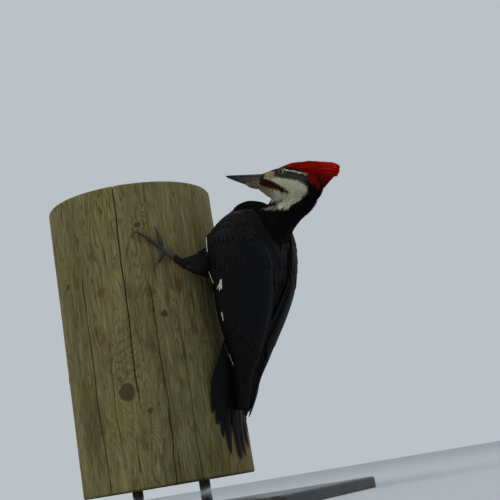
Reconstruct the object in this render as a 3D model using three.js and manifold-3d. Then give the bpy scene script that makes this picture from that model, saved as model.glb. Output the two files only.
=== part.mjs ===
// A life-size pileated woodpecker (adult male) clinging to a cut length of utility pole, which two
// short rods hold over a flat display base. Millimetres, +Z up. The origin is the centre of the
// base's underside. +X points away from the pole's axis, through the bird; the bird's left is -Y.
import * as THREE from "three";
import { mergeVertices } from "three/addons/utils/BufferGeometryUtils.js";
import Module from "manifold-3d";

const wasm = await Module();
wasm.setup();

// ---------------------------------------------------------------- driving dimensions
const GAP = 0.3; // clear space between two pieces that meet
const SEAT = 1.2; // the wings lie this far off the facets of the trunk

const BASE = { length: 340, width: 262, thick: 14, corner: 16, bevel: 1.5 };
const ROD = { radius: 7, length: 30, spread: 52, sides: 18 };
const POLE = { x: -58, radiusBottom: 109.5, radiusTop: 107.5, length: 372, sides: 48 };
const POLE_BOTTOM = BASE.thick + ROD.length;
const TAIL_TIP_Z = POLE_BOTTOM + 14; // heights along the bird are counted from its tail's tip

const BODY_YAW = -11.5; // degrees: the back is turned this far from +X, here towards the bird's left
const HEAD_YAW = 28.5; // the back of the head is turned the other way
const HEAD_PITCH = 14; // the bill points this far above the horizon
const HEAD_AT = { out: 236.4, right: -8, up: 335.9 }; // the middle of the brow, where the head's axes start

const EYE = { radius: 5, forward: -1.2, side: 9.2, up: -3.6 };
const BILL_TIP = 67.6; // ahead of the brow
const TOMIUM = -10.9; // height of the line between the mandibles, from the brow

// ---------------------------------------------------------------- helpers: numbers
const radians = THREE.MathUtils.degToRad;
const vec = (x, y, z) => new THREE.Vector3(x, y, z);
const { lerp, clamp, smoothstep } = THREE.MathUtils;
const count = (n, make) => Array.from({ length: n }, (_, k) => make(k));

// A point of the bird: how far out from the pole's axis, how far to its right, and how high
// over the tip of its tail.
const place = ({ out, right = 0, up }) => vec(POLE.x + out, right, TAIL_TIP_Z + up);

// Reads a table of stations as one smooth function of t, from 0 at the first to 1 at the last.
function profile(stations) {
  const near = (k, key) => stations[clamp(k, 0, stations.length - 1)][key] ?? 0;
  return (t) => {
    const at = clamp(t, 0, 1) * (stations.length - 1);
    const i = Math.min(Math.floor(at), stations.length - 2);
    const s = at - i;
    const made = {};
    for (const key of Object.keys(stations[0])) {
      const [a, b, c, d] = [near(i - 1, key), near(i, key), near(i + 1, key), near(i + 2, key)];
      made[key] = b + 0.5 * s * (c - a + s * (2 * a - 5 * b + 4 * c - d + s * (3 * (b - c) + d - a)));
    }
    return made;
  };
}

// ---------------------------------------------------------------- helpers: solids
const middle = (ring) => ring.reduce((sum, p) => sum.add(p), vec(0, 0, 0)).divideScalar(ring.length);

// A closed surface through rings of points, with a flat fan over each end. Where it has to grow,
// its ends grow too.
function loft(rings, grow = 0) {
  if (grow > 0) {
    const shifted = (ring, next) => {
      const away = middle(ring).sub(middle(next)).setLength(grow);
      return ring.map((p) => p.clone().add(away));
    };
    rings = [shifted(rings[0], rings[1]), ...rings, shifted(rings.at(-1), rings.at(-2))];
  }
  const n = rings[0].length;
  const points = rings.flat();
  const last = points.length - n;
  const faces = [];
  for (let k = 0; k < n; k++) {
    const next = (k + 1) % n;
    for (let r = 0; r < last; r += n)
      faces.push(r + k, r + next, r + next + n, r + k, r + next + n, r + k + n);
    faces.push(points.length, next, k, points.length + 1, last + k, last + next);
  }
  const made = new THREE.BufferGeometry();
  made.setFromPoints([...points, middle(rings[0]), middle(rings.at(-1))]).setIndex(faces);
  return solid(made);
}

// A three.js geometry as a manifold solid, turned right side out.
function solid(geometry) {
  const bare = geometry.clone();
  bare.deleteAttribute("normal");
  bare.deleteAttribute("uv");
  const merged = mergeVertices(bare, 1e-4);
  const vertProperties = merged.attributes.position.array;
  const make = (triVerts) => new wasm.Manifold(new wasm.Mesh({ numProp: 3, vertProperties, triVerts }));
  const triVerts = new Uint32Array(merged.index.array);
  const made = make(triVerts);
  return made.volume() > 0 ? made : make(triVerts.reverse());
}

const cut = (made, ...rooms) => rooms.reduce((left, room) => left.subtract(room), made);
const join = (pieces) => pieces.reduce((sum, piece) => sum.add(piece));

const group = new THREE.Group();

// Adds a solid to the model as a named mesh, without the crumbs that a cut may leave.
function add(name, made, material) {
  const mesh = made.decompose().sort((a, b) => b.volume() - a.volume())[0].getMesh();
  const geometry = new THREE.BufferGeometry();
  const corner = (i) => [...mesh.vertProperties.slice(i * mesh.numProp).slice(0, 3)];
  const positions = count(mesh.numVert, corner);
  geometry.setAttribute("position", new THREE.Float32BufferAttribute(positions.flat(), 3));
  geometry.setIndex(new THREE.BufferAttribute(mesh.triVerts, 1));
  geometry.computeVertexNormals();
  const node = new THREE.Mesh(geometry, material);
  node.name = name;
  group.add(node);
}

const finish = (color, roughness, metalness = 0) =>
  new THREE.MeshStandardMaterial({ color, roughness, metalness });
const BLACK = finish(0x0b0b0c, 0.75);
const RED = finish(0xa3120a, 0.75);
const HORN_DARK = finish(0x2c2e33, 0.4);
const HORN_PALE = finish(0x6a675c, 0.45);
const EYE_GLOSS = finish(0x15110a, 0.08);
const SCALE_GREY = finish(0x35363a, 0.6);
const WOOD = finish(0x8d8259, 0.85);
const BASE_BLACK = finish(0x23211f, 0.5);
const STEEL = finish(0x8a8d90, 0.35, 1);

// ---------------------------------------------------------------- the display base, rods and pole
function displayBase() {
  const { length, width, thick, corner, bevel } = BASE;
  const [x, y] = [length / 2 - bevel - corner, width / 2 - bevel - corner];
  const outline = new THREE.Shape();
  outline.absarc(x, y, corner, 0, Math.PI / 2);
  outline.absarc(-x, y, corner, Math.PI / 2, Math.PI);
  outline.absarc(-x, -y, corner, Math.PI, 1.5 * Math.PI);
  outline.absarc(x, -y, corner, 1.5 * Math.PI, 2 * Math.PI);
  const plate = new THREE.ExtrudeGeometry(outline, {
    depth: thick - 2 * bevel,
    bevelSize: bevel,
    bevelThickness: bevel,
    bevelSegments: 1,
    curveSegments: 4,
  });
  return solid(plate.translate(0, 0, bevel));
}

// An upright cylinder round the pole's axis, moved along X by shift.
function upright(radiusTop, radiusBottom, bottom, height, sides, shift = 0) {
  const made = new THREE.CylinderGeometry(radiusTop, radiusBottom, height, sides).rotateX(Math.PI / 2);
  return made.translate(shift, 0, bottom + height / 2);
}

function rod(side) {
  const shift = POLE.x + side * ROD.spread;
  return solid(upright(ROD.radius, ROD.radius, BASE.thick + GAP, ROD.length - 2 * GAP, ROD.sides, shift));
}

// The cut length of pole tapers a little. Drying has opened long narrow checks down its side, each a
// wedge: turn from +X, width at the wood's surface, depth, and the stretch of the pole it runs over.
const CHECKS = [
  { turn: -96, width: 3.0, deep: 24, low: 0, high: 0.72 },
  { turn: -66, width: 2.4, deep: 20, low: 0.3, high: 1 },
  { turn: -128, width: 2.2, deep: 18, low: 0, high: 1 },
  { turn: 25, width: 2.6, deep: 22, low: 0.45, high: 1 },
  { turn: 118, width: 3.2, deep: 26, low: 0, high: 0.6 },
  { turn: 175, width: 2.4, deep: 20, low: 0.2, high: 1 },
];

function poleBlank(grow) {
  const { radiusTop, radiusBottom, length, sides, x } = POLE;
  return solid(upright(radiusTop + grow, radiusBottom + grow, POLE_BOTTOM, length, sides, x));
}

function pole() {
  const overshoot = 4; // past the pole's end and past its surface
  const wedges = CHECKS.map(({ turn, width, deep, low, high }) => {
    const bottom = POLE_BOTTOM + low * POLE.length - (low === 0 ? overshoot : 0);
    const top = POLE_BOTTOM + high * POLE.length + (high === 1 ? overshoot : 0);
    const wedge = new THREE.Shape([
      new THREE.Vector2(POLE.radiusTop - deep, 0),
      new THREE.Vector2(POLE.radiusTop + overshoot, -width / 2),
      new THREE.Vector2(POLE.radiusTop + overshoot, width / 2),
    ]);
    const made = new THREE.ExtrudeGeometry(wedge, { depth: top - bottom, bevelEnabled: false });
    return solid(made.rotateZ(radians(turn)).translate(POLE.x, 0, bottom));
  });
  return cut(poleBlank(0), ...wedges);
}

// A point over the pole's surface: turn in degrees from +X towards the bird's right, and lift off the wood.
function onPole(turn, up, lift) {
  const height = (TAIL_TIP_Z + up - POLE_BOTTOM) / POLE.length;
  const out = lerp(POLE.radiusBottom, POLE.radiusTop, height) + lift;
  return place({ out: out * Math.cos(radians(turn)), right: out * Math.sin(radians(turn)), up });
}

// ---------------------------------------------------------------- the trunk and the neck
// Stations up a part of the body: its middle, its half-width, and its depth to the back and to the
// belly from there. The sections are square to the line through the middles.
const TRUNK = [
  { out: 119, up: 52, half: 5, back: 4, belly: 4 },
  { out: 127, up: 78, half: 12, back: 10, belly: 8 },
  { out: 134, up: 104, half: 17, back: 13.5, belly: 13 },
  { out: 142, up: 128, half: 23.5, back: 20.5, belly: 21 },
  { out: 149.5, up: 154, half: 31.5, back: 28.5, belly: 31.5 },
  { out: 158, up: 182, half: 39.5, back: 37, belly: 41 },
  { out: 165, up: 208, half: 45, back: 44, belly: 46 },
  { out: 169, up: 233, half: 48.5, back: 47.5, belly: 50.5 },
  { out: 172, up: 257, half: 49.5, back: 48, belly: 52 },
  { out: 174, up: 277, half: 46.5, back: 46, belly: 50 },
  { out: 171.5, up: 289, half: 42.5, back: 39, belly: 45 },
  { out: 168, up: 297, half: 35, back: 29, belly: 38 },
  { out: 165, up: 300.5, half: 21, back: 16, belly: 24 },
  { out: 164, up: 301.5, half: 6, back: 5, belly: 7 },
].map((station) => ({ ...station, right: 0, yaw: BODY_YAW }));
const RUMP = 1 / 13; // the trunk's solid starts here, and below it the line only shapes the wings

const NECK = [
  { out: 190, right: 0, up: 252, half: 38, back: 30, belly: 30, yaw: -8 },
  { out: 207, right: -1, up: 270, half: 28, back: 23, belly: 25, yaw: 2 },
  { out: 222, right: 0, up: 286, half: 21, back: 24, belly: 21, yaw: 12 },
  { out: 236, right: 0, up: 300, half: 19, back: 28, belly: 20, yaw: 21 },
  { out: 247, right: 1, up: 312, half: 15, back: 30, belly: 18, yaw: HEAD_YAW },
];

const trunkLine = profile(TRUNK);
const neckLine = profile(NECK);

// A point on the body: turn is 0 at the bird's left side, 90 at its back and -90 at its belly.
function onBody(line, t, turn, lift) {
  const step = 0.01;
  const at = line(t);
  const [before, after] = [place(line(Math.max(t - step, 0))), place(line(Math.min(t + step, 1)))];
  const along = after.sub(before).normalize();
  const level = vec(Math.sin(radians(at.yaw)), -Math.cos(radians(at.yaw)), 0);
  const back = along.clone().cross(level).normalize();
  const left = back.clone().cross(along);
  const [c, s] = [Math.cos(radians(turn)), Math.sin(radians(turn))];
  return place(at)
    .addScaledVector(left, c * (at.half + lift))
    .addScaledVector(back, s * ((s > 0 ? at.back : at.belly) + lift));
}

function bodyPiece(line, from, sides, rings, grow) {
  const ring = (t) => count(sides, (k) => onBody(line, t, (k * 360) / sides, grow));
  return loft(count(rings + 1, (r) => ring(lerp(from, 1, r / rings))), grow);
}

// ---------------------------------------------------------------- the head, in its own axes
const headAxes = (() => {
  const [yaw, pitch] = [radians(HEAD_YAW), radians(HEAD_PITCH)];
  const forward = vec(-Math.cos(yaw) * Math.cos(pitch), -Math.sin(yaw) * Math.cos(pitch), Math.sin(pitch));
  const left = vec(Math.sin(yaw), -Math.cos(yaw), 0);
  return { forward, left, up: forward.clone().cross(left) };
})();

// A point of the head: forward, to the left and up, from the middle of the brow.
const inHead = (forward, left, up) =>
  place(HEAD_AT)
    .addScaledVector(headAxes.forward, forward)
    .addScaledVector(headAxes.left, left)
    .addScaledVector(headAxes.up, up);

// Stations along the head: a section's middle and half-width, and its height above and below that
// middle. A power over 2 makes it boxier.
const HEAD = [
  { forward: -47, middle: -13, half: 6, above: 7, below: 8, power: 2 },
  { forward: -41, middle: -13, half: 13, above: 14, below: 17, power: 2 },
  { forward: -29, middle: -12.5, half: 17.5, above: 18.5, below: 25, power: 2.1 },
  { forward: -14, middle: -12.5, half: 18, above: 19.5, below: 27, power: 2.2 },
  { forward: -1, middle: -12.5, half: 16, above: 17.5, below: 25.5, power: 2.2 },
  { forward: 10, middle: -12.3, half: 13, above: 14, below: 22, power: 2.2 },
  { forward: 19, middle: -12, half: 10, above: 9.4, below: 17.5, power: 2.2 },
  { forward: 27, middle: -12, half: 7.6, above: 5.6, below: 12, power: 2.2 },
];

const CREST = [
  { forward: 11, middle: -3, half: 4, above: 4, below: 6, power: 2 },
  { forward: 2, middle: -2, half: 8.8, above: 7.6, below: 10, power: 1.8 },
  { forward: -12, middle: -1, half: 12.6, above: 13.6, below: 12, power: 1.8 },
  { forward: -32, middle: 0, half: 13, above: 16.6, below: 14, power: 1.7 },
  { forward: -47, middle: 0, half: 9.6, above: 17.2, below: 20, power: 1.6 },
  { forward: -58, middle: 4, half: 5.6, above: 12.8, below: 15, power: 1.6 },
  { forward: -66, middle: 7.5, half: 2.8, above: 7.4, below: 8, power: 1.6 },
  { forward: -70, middle: 9, half: 1, above: 3, below: 2.5, power: 1.8 },
];

const UPPER_BILL = [
  { forward: 14, middle: TOMIUM, half: 8.6, above: 7.4, below: 6, power: 1.8 },
  { forward: 25, middle: TOMIUM, half: 7.4, above: 5.9, below: 5, power: 1.7 },
  { forward: 41, middle: TOMIUM, half: 5.4, above: 4.1, below: 4, power: 1.6 },
  { forward: 55, middle: TOMIUM, half: 3.5, above: 2.5, below: 3, power: 1.8 },
  { forward: 64, middle: TOMIUM, half: 2.2, above: 1.4, below: 2, power: 2 },
  { forward: BILL_TIP, middle: TOMIUM, half: 1.5, above: 0.7, below: 1, power: 2 },
];

const LOWER_BILL = [
  { forward: 14, middle: TOMIUM, half: 8.2, above: 5, below: 8.5, power: 1.9 },
  { forward: 29, middle: TOMIUM, half: 6.8, above: 5, below: 11.2, power: 1.8 },
  { forward: 41, middle: TOMIUM, half: 5.1, above: 4, below: 8.6, power: 1.7 },
  { forward: 54, middle: TOMIUM, half: 3.4, above: 3, below: 4.9, power: 1.8 },
  { forward: 63, middle: TOMIUM, half: 2.1, above: 2, below: 2.1, power: 2 },
  { forward: BILL_TIP - 1.2, middle: TOMIUM, half: 1.3, above: 1, below: 0.8, power: 2 },
];

function headPiece(stations, sides, rings, grow = 0) {
  const line = profile(stations);
  const ring = ({ forward, middle: centre, half, above, below, power }) =>
    count(sides, (k) => {
      const [c, s] = [Math.cos((2 * Math.PI * k) / sides), Math.sin((2 * Math.PI * k) / sides)];
      const reach = (Math.abs(c) ** power + Math.abs(s) ** power) ** (-1 / power);
      const height = (s > 0 ? above : below) + grow;
      return inHead(forward, reach * c * (half + grow), centre + reach * s * height);
    });
  return loft(count(rings + 1, (r) => ring(line(r / rings))), grow);
}

// A box that fills the head's space above (1) or below (-1) the line between the mandibles.
function billSide(sign) {
  const size = 120;
  const made = new THREE.BoxGeometry(size, size, size).translate(0, 0, (sign * (size + GAP)) / 2);
  const basis = new THREE.Matrix4().makeBasis(headAxes.left, headAxes.forward, headAxes.up);
  return solid(made.applyMatrix4(basis.setPosition(inHead(40, 0, TOMIUM))));
}

function ball(centre, radius) {
  const made = new THREE.SphereGeometry(radius, 12, 8).rotateX(Math.PI / 2).rotateZ(radians(HEAD_YAW));
  return solid(made.translate(centre.x, centre.y, centre.z));
}

// ---------------------------------------------------------------- feathers
// A stiff feather along a path of spots, ridged along its shaft.
function vane(spots, thick, grow = 0) {
  const edge = 0.5; // an edge's thickness, as a share of the shaft's
  return loft(
    spots.map(({ at, normal, half }, i) => {
      const along = spots[Math.min(i + 1, spots.length - 1)].at.clone().sub(spots[Math.max(i - 1, 0)].at);
      const side = along.cross(normal).setLength(half + grow);
      const rise = normal.clone().setLength(thick / 2 + grow);
      const section = [[1, edge], [0, 1], [-1, edge], [-1, -edge], [0, -1], [1, -edge]];
      return section.map(([x, y]) => at.clone().addScaledVector(side, x).addScaledVector(rise, y));
    }),
    grow,
  );
}

// Width along a feather: full for most of its length, then drawn to a point.
const vaneWidth = (s, full, point) => full * Math.min(0.6 + 2 * s, 1, ((1 - s) / point) ** 0.62 + 0.05);

// The tail leans on the pole at its tip and rises from there to the rump. It wraps round the pole.
function onTail(side, up, lift) {
  const rise = 30 * smoothstep(up, 35, 175);
  const wrap = (side * side) / lerp(2 * POLE.radiusBottom, 105, smoothstep(up, 40, 110));
  return place({ out: POLE.radiusBottom + 2.2 + rise - wrap + lift, right: side, up });
}

// Half of the tail's ten long feathers, from the middle pair out: where each tip is.
const TAIL_MIDDLE = 4; // the tail is swung this far to the bird's right
const TAIL_TOP = 162;
const RECTRICES = [
  { side: 6, up: 1.5, half: 8.6 },
  { side: 23, up: 12, half: 8.2 },
  { side: 31, up: 32, half: 7.8 },
  { side: 37, up: 47.5, half: 7.3 },
  { side: 42, up: 62.5, half: 6.6 },
];

function tail() {
  const steps = 5;
  const feather = (side, i) => {
    const tip = RECTRICES[i];
    const lift = -0.9 * i;
    const spots = count(steps + 1, (k) => {
      const s = k / steps;
      const across = side * lerp(3 + 2.4 * i, tip.side, s ** 0.7) + TAIL_MIDDLE * s;
      const up = lerp(TAIL_TOP, tip.up + (side > 0 ? 4 : 0), s);
      const slope = onTail(across + 1, up, lift).sub(onTail(across - 1, up, lift));
      const rise = onTail(across, up + 1, lift).sub(onTail(across, up - 1, lift));
      const normal = slope.cross(rise).normalize();
      return { at: onTail(across, up, lift), normal, half: vaneWidth(s, tip.half, 0.2) };
    });
    return vane(spots, 1.5);
  };
  return join([-1, 1].flatMap((side) => RECTRICES.map((_, i) => feather(side, i))));
}

// ---------------------------------------------------------------- the wings
// Stations of a folded wing from the shoulder to its tip: the place along the trunk's line, the
// turns of its lower and upper edge about that line, and its thickness.
const WING = profile([
  { over: 0.83, low: -24, high: 12, thick: 2.5 },
  { over: 0.77, low: -36, high: 30, thick: 7 },
  { over: 0.69, low: -38, high: 43, thick: 9 },
  { over: 0.615, low: -36, high: 57, thick: 9.4 },
  { over: 0.54, low: -36, high: 69, thick: 9.4 },
  { over: 0.46, low: -36, high: 75, thick: 9.4 },
  { over: 0.385, low: -36, high: 80, thick: 9 },
  { over: 0.31, low: -30, high: 84, thick: 8 },
  { over: 0.23, low: -12, high: 86, thick: 7 },
  { over: 0.15, low: 16, high: 87, thick: 6 },
  { over: 0.08, low: 42, high: 87, thick: 4.5 },
  { over: 0.03, low: 62, high: 87, thick: 3 },
]);

// side is -1 for the left wing and 1 for the right.
const overBody = (side, over, turn, lift) => onBody(trunkLine, over, side < 0 ? turn : 180 - turn, lift);

function wingShell(side, grow) {
  const [rings, arc] = [12, 6];
  const edge = 0.35; // an edge's thickness, as a share of the wing's
  return loft(
    count(rings + 1, (r) => {
      const { over, low, high, thick } = WING(r / rings);
      const turns = count(arc + 1, (k) => lerp(low - grow, high + grow, k / arc));
      const fullness = (k) => edge + (1 - edge) * Math.sqrt(Math.sin(Math.PI * clamp(k / arc, 0, 0.999)));
      const outer = turns.map((turn, k) => overBody(side, over, turn, SEAT + thick * fullness(k) + grow));
      const inner = turns.map((turn) => overBody(side, over, turn, SEAT - grow));
      return [...outer, ...inner.reverse()];
    }),
    grow,
  );
}

// The tips of the long flight feathers, which step out past the lower edge of the wing.
const PRIMARIES = [
  { tip: 0.012, turn: 76, lift: 4.6 },
  { tip: 0.03, turn: 60, lift: 3.9 },
  { tip: 0.065, turn: 38, lift: 3.2 },
  { tip: 0.12, turn: 14, lift: 2.6 },
  { tip: 0.2, turn: -16, lift: 2 },
];

function wing(side, grow) {
  const steps = 5;
  const feathers = PRIMARIES.map(({ tip, turn, lift }, i) => {
    const spots = count(steps + 1, (k) => {
      const s = k / steps;
      const over = lerp(0.42, tip, s);
      const at = (height) => overBody(side, over, lerp(-18 + 4 * i, turn, s ** 1.4), SEAT + height);
      const normal = at(lift + 1).sub(at(lift)).normalize();
      return { at: at(lift), normal, half: vaneWidth(s, 7.5, 0.25) };
    });
    return vane(spots, 1.4, grow);
  });
  return join([wingShell(side, grow), ...feathers]);
}

// ---------------------------------------------------------------- legs and feet
// A round limb through points, with a radius at each.
function limb(points, radii, sides, rings, grow = 0) {
  const line = new THREE.CatmullRomCurve3(points);
  const size = profile(radii.map((r) => ({ r })));
  const frames = line.computeFrenetFrames(rings, false);
  const ring = (i) =>
    count(sides, (k) => {
      const [turn, r] = [(2 * Math.PI * k) / sides, size(i / rings).r + grow];
      return line
        .getPoint(i / rings)
        .addScaledVector(frames.normals[i], r * Math.cos(turn))
        .addScaledVector(frames.binormals[i], r * Math.sin(turn));
    });
  return loft(count(rings + 1, ring), grow);
}

// Turns round the pole, heights and lifts off the wood for the left foot. The right foot mirrors
// them and stands a little lower. Toe 1 points down and back, 2 up, 3 up and out, 4 down and out.
const FOOT = { turn: -38.3, up: 267, lift: 5.2 };
const HEEL = { turn: -29, up: 242, lift: 22 };
const TOES = [
  { turn: -31.5, up: 261, thick: 1.8, claw: { turn: -27.3, up: 255.5, rise: 4 } },
  { turn: -39.9, up: 288, thick: 2.4, claw: { turn: -41.5, up: 298.5, rise: 5 } },
  { turn: -49.8, up: 289.5, thick: 2.7, claw: { turn: -58, up: 288.5, rise: 8.5 } },
  { turn: -41.5, up: 253, thick: 2.4, claw: { turn: -46.3, up: 243, rise: 5.5 } },
];
const RIGHT_FOOT_DROP = 9;

const TOE_THICKNESS = [1.15, 0.84, 1.04, 0.82, 0.9, 0.6]; // pads and joints, as shares of a toe's own
const CLAW_THICKNESS = [0.6, 0.66, 0.5, 0.14];

function leg(side) {
  const drop = side < 0 ? 0 : RIGHT_FOOT_DROP;
  const spot = (turn, up, lift) => onPole(-side * turn, up - drop, lift);
  const heel = spot(HEEL.turn, HEEL.up, HEEL.lift);
  const ankle = spot(FOOT.turn, FOOT.up, FOOT.lift);
  const hip = place({ out: 150, right: side * 14, up: 236 });
  const knee = place({ out: 131, right: side * 26, up: 245 - drop / 2 });
  const shin = knee.clone().lerp(heel, 0.55);
  const thigh = limb([hip, knee, shin, heel.clone().lerp(ankle, 0.2)], [22, 21, 14, 4.6], 12, 6);

  const tarsusLine = [heel.clone().lerp(knee, 0.3), heel, heel.clone().lerp(ankle, 0.5), ankle];
  const tarsus = (grow) => limb(tarsusLine, [3.4, 3.7, 2.9, 3.4], 7, 6, grow);

  const toe = ({ turn, up, thick }, grow) => {
    const arch = spot(lerp(FOOT.turn, turn, 0.5), lerp(FOOT.up, up, 0.5), thick + 3);
    const radii = TOE_THICKNESS.map((share) => share * thick);
    return limb([ankle, arch, spot(turn, up, thick + 0.4)], radii, 7, 5, grow);
  };
  const claw = ({ turn, up, thick, claw: tip }) => {
    const root = spot(turn, up, thick + 0.6);
    const hump = { turn: lerp(turn, tip.turn, 0.5), up: lerp(up, tip.up, 0.5) + tip.rise * 0.5 };
    const top = spot(hump.turn, hump.up, thick + tip.rise * 0.4);
    const radii = CLAW_THICKNESS.map((share) => share * thick);
    return limb([root, top, spot(tip.turn, tip.up, -1)], radii, 5, 4);
  };
  const foot = (grow) => join([tarsus(grow), ...TOES.map((each) => toe(each, grow))]);
  return { thigh, foot: foot(0), footRoom: foot(GAP), claws: TOES.map(claw) };
}

// ---------------------------------------------------------------- the whole model
add("stand_base", displayBase(), BASE_BLACK);
add("stand_rod_inner", rod(-1), STEEL);
add("stand_rod_outer", rod(1), STEEL);
add("perch_pole", pole(), WOOD);

const trunk = (grow) => bodyPiece(trunkLine, RUMP, 22, 12, grow);
const head = (grow) => headPiece(HEAD, 20, 11, grow);
const crest = (grow) => headPiece(CREST, 14, 10, grow);
const [trunkRoom, headRoom, crestRoom, poleRoom] = [trunk(GAP), head(GAP), crest(GAP), poleBlank(GAP)];
const eyes = {
  left: inHead(EYE.forward, EYE.side, EYE.up),
  right: inHead(EYE.forward, -EYE.side, EYE.up),
};
const sockets = Object.values(eyes).map((at) => ball(at, EYE.radius + GAP));

add("trunk", trunk(0), BLACK);
add("neck", cut(bodyPiece(neckLine, 0, 18, 6, 0), trunkRoom, headRoom, crestRoom), BLACK);
add("head", cut(head(0), ...sockets), BLACK);
add("crest", cut(crest(0), headRoom, ...sockets), RED);
add("bill_upper", cut(headPiece(UPPER_BILL, 12, 7).intersect(billSide(1)), headRoom, crestRoom), HORN_DARK);
add("bill_lower", cut(headPiece(LOWER_BILL, 12, 7).intersect(billSide(-1)), headRoom), HORN_PALE);
for (const [name, at] of Object.entries(eyes)) add("eye_" + name, ball(at, EYE.radius), EYE_GLOSS);
const wingRooms = [wing(-1, GAP), wing(1, GAP)];
add("tail", cut(tail(), trunkRoom, poleRoom, ...wingRooms), BLACK);

for (const [name, side] of [["left", -1], ["right", 1]]) {
  const { thigh, foot, footRoom, claws } = leg(side);
  add("wing_" + name, wing(side, 0), BLACK);
  add("thigh_" + name, cut(thigh, trunkRoom, footRoom, poleRoom, ...wingRooms), BLACK);
  add("foot_" + name, cut(foot, poleRoom), SCALE_GREY);
  claws.forEach((claw, i) => add(`claw_${i + 1}_${name}`, cut(claw, footRoom, poleRoom), HORN_DARK));
}

export default group;
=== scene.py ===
"""Looks for the life-size pileated woodpecker on its cut length of pole.

Lengths are in millimetres in the frame's axes until a mesh is made, which turns them into metres.
"""

import itertools
import math

import bmesh
import bpy
import numpy as np
from mathutils import Matrix, Vector
from mathutils.bvhtree import BVHTree
from mathutils.kdtree import KDTree


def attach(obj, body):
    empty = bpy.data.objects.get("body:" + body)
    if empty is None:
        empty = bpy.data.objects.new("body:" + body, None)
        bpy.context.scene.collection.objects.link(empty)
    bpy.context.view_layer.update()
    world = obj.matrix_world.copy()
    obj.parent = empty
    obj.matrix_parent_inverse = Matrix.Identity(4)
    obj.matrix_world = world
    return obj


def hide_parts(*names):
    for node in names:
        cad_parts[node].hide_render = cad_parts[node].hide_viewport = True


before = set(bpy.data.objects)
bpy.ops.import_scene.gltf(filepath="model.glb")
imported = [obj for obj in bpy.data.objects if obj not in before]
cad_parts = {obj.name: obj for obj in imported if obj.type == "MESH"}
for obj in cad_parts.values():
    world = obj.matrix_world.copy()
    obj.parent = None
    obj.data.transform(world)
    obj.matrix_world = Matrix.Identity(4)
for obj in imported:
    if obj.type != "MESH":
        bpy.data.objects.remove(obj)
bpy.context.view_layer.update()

MM = 0.001

# ---- the sizes that the solids have
POLE_X = -58.0
POLE_BOTTOM = 44.0
POLE_LENGTH = 372.0
POLE_RADII = (109.5, 107.5)
TAIL_TIP_Z = 58.0
BODY_YAW = -11.5
HEAD_YAW = 28.5
HEAD_PITCH = 14.0
HEAD_AT = (236.4, -8.0, 335.9)
EYE_AT = (-1.2, 9.2, -3.6)
EYE_RADIUS = 5.0
TOMIUM = -10.9
SEAT = 1.2
RUMP = 1 / 13


def cubic(a, b, c, d, s):
    """A smooth step from b to c as s goes from 0 to 1, with a before them and d after."""
    return b + 0.5 * s * (c - a + s * (2 * a - 5 * b + 4 * c - d + s * (3 * (b - c) + d - a)))


def profile(*rows):
    """A table of stations as one smooth function of t, from 0 at its first row to 1 at its last."""
    rows = np.array(rows, float)

    def read(t):
        at = np.clip(np.asarray(t, float), 0, 1) * (len(rows) - 1)
        i = np.minimum(at.astype(int), len(rows) - 2)
        return cubic(*(rows[np.clip(i + k, 0, len(rows) - 1)] for k in (-1, 0, 1, 2)), (at - i)[..., None])

    return read


# Middle (out, right, up), half-width, depth to the back and to the belly, and yaw.
TRUNK = profile(
    (119, 0, 52, 5, 4, 4, BODY_YAW),
    (127, 0, 78, 12, 10, 8, BODY_YAW),
    (134, 0, 104, 17, 13.5, 13, BODY_YAW),
    (142, 0, 128, 23.5, 20.5, 21, BODY_YAW),
    (149.5, 0, 154, 31.5, 28.5, 31.5, BODY_YAW),
    (158, 0, 182, 39.5, 37, 41, BODY_YAW),
    (165, 0, 208, 45, 44, 46, BODY_YAW),
    (169, 0, 233, 48.5, 47.5, 50.5, BODY_YAW),
    (172, 0, 257, 49.5, 48, 52, BODY_YAW),
    (174, 0, 277, 46.5, 46, 50, BODY_YAW),
    (171.5, 0, 289, 42.5, 39, 45, BODY_YAW),
    (168, 0, 297, 35, 29, 38, BODY_YAW),
    (165, 0, 300.5, 21, 16, 24, BODY_YAW),
    (164, 0, 301.5, 6, 5, 7, BODY_YAW),
)
NECK = profile(
    (190, 0, 252, 38, 30, 30, -8),
    (207, -1, 270, 28, 23, 25, 2),
    (222, 0, 286, 21, 24, 21, 12),
    (236, 0, 300, 19, 28, 20, 21),
    (247, 1, 312, 15, 30, 18, HEAD_YAW),
)
# Forward of the brow, middle, half-width, height above and below the middle, and boxiness.
HEAD = profile(
    (-47, -13, 6, 7, 8, 2),
    (-41, -13, 13, 14, 17, 2),
    (-29, -12.5, 17.5, 18.5, 25, 2.1),
    (-14, -12.5, 18, 19.5, 27, 2.2),
    (-1, -12.5, 16, 17.5, 25.5, 2.2),
    (10, -12.3, 13, 14, 22, 2.2),
    (19, -12, 10, 9.4, 17.5, 2.2),
    (27, -12, 7.6, 5.6, 12, 2.2),
)
CREST = profile(
    (11, -3, 4, 4, 6, 2),
    (2, -2, 8.8, 7.6, 10, 1.8),
    (-12, -1, 12.6, 13.6, 12, 1.8),
    (-32, 0, 13, 16.6, 14, 1.7),
    (-47, 0, 9.6, 17.2, 20, 1.6),
    (-58, 4, 5.6, 12.8, 15, 1.6),
    (-66, 7.5, 2.8, 7.4, 8, 1.6),
    (-70, 9, 1, 3, 2.5, 1.8),
)
UPPER_BILL = profile(
    (14, TOMIUM, 8.6, 7.4, 6, 1.8),
    (25, TOMIUM, 7.4, 5.9, 5, 1.7),
    (41, TOMIUM, 5.4, 4.1, 4, 1.6),
    (55, TOMIUM, 3.5, 2.5, 3, 1.8),
    (64, TOMIUM, 2.2, 1.4, 2, 2),
    (67.6, TOMIUM, 1.5, 0.7, 1, 2),
)
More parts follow.
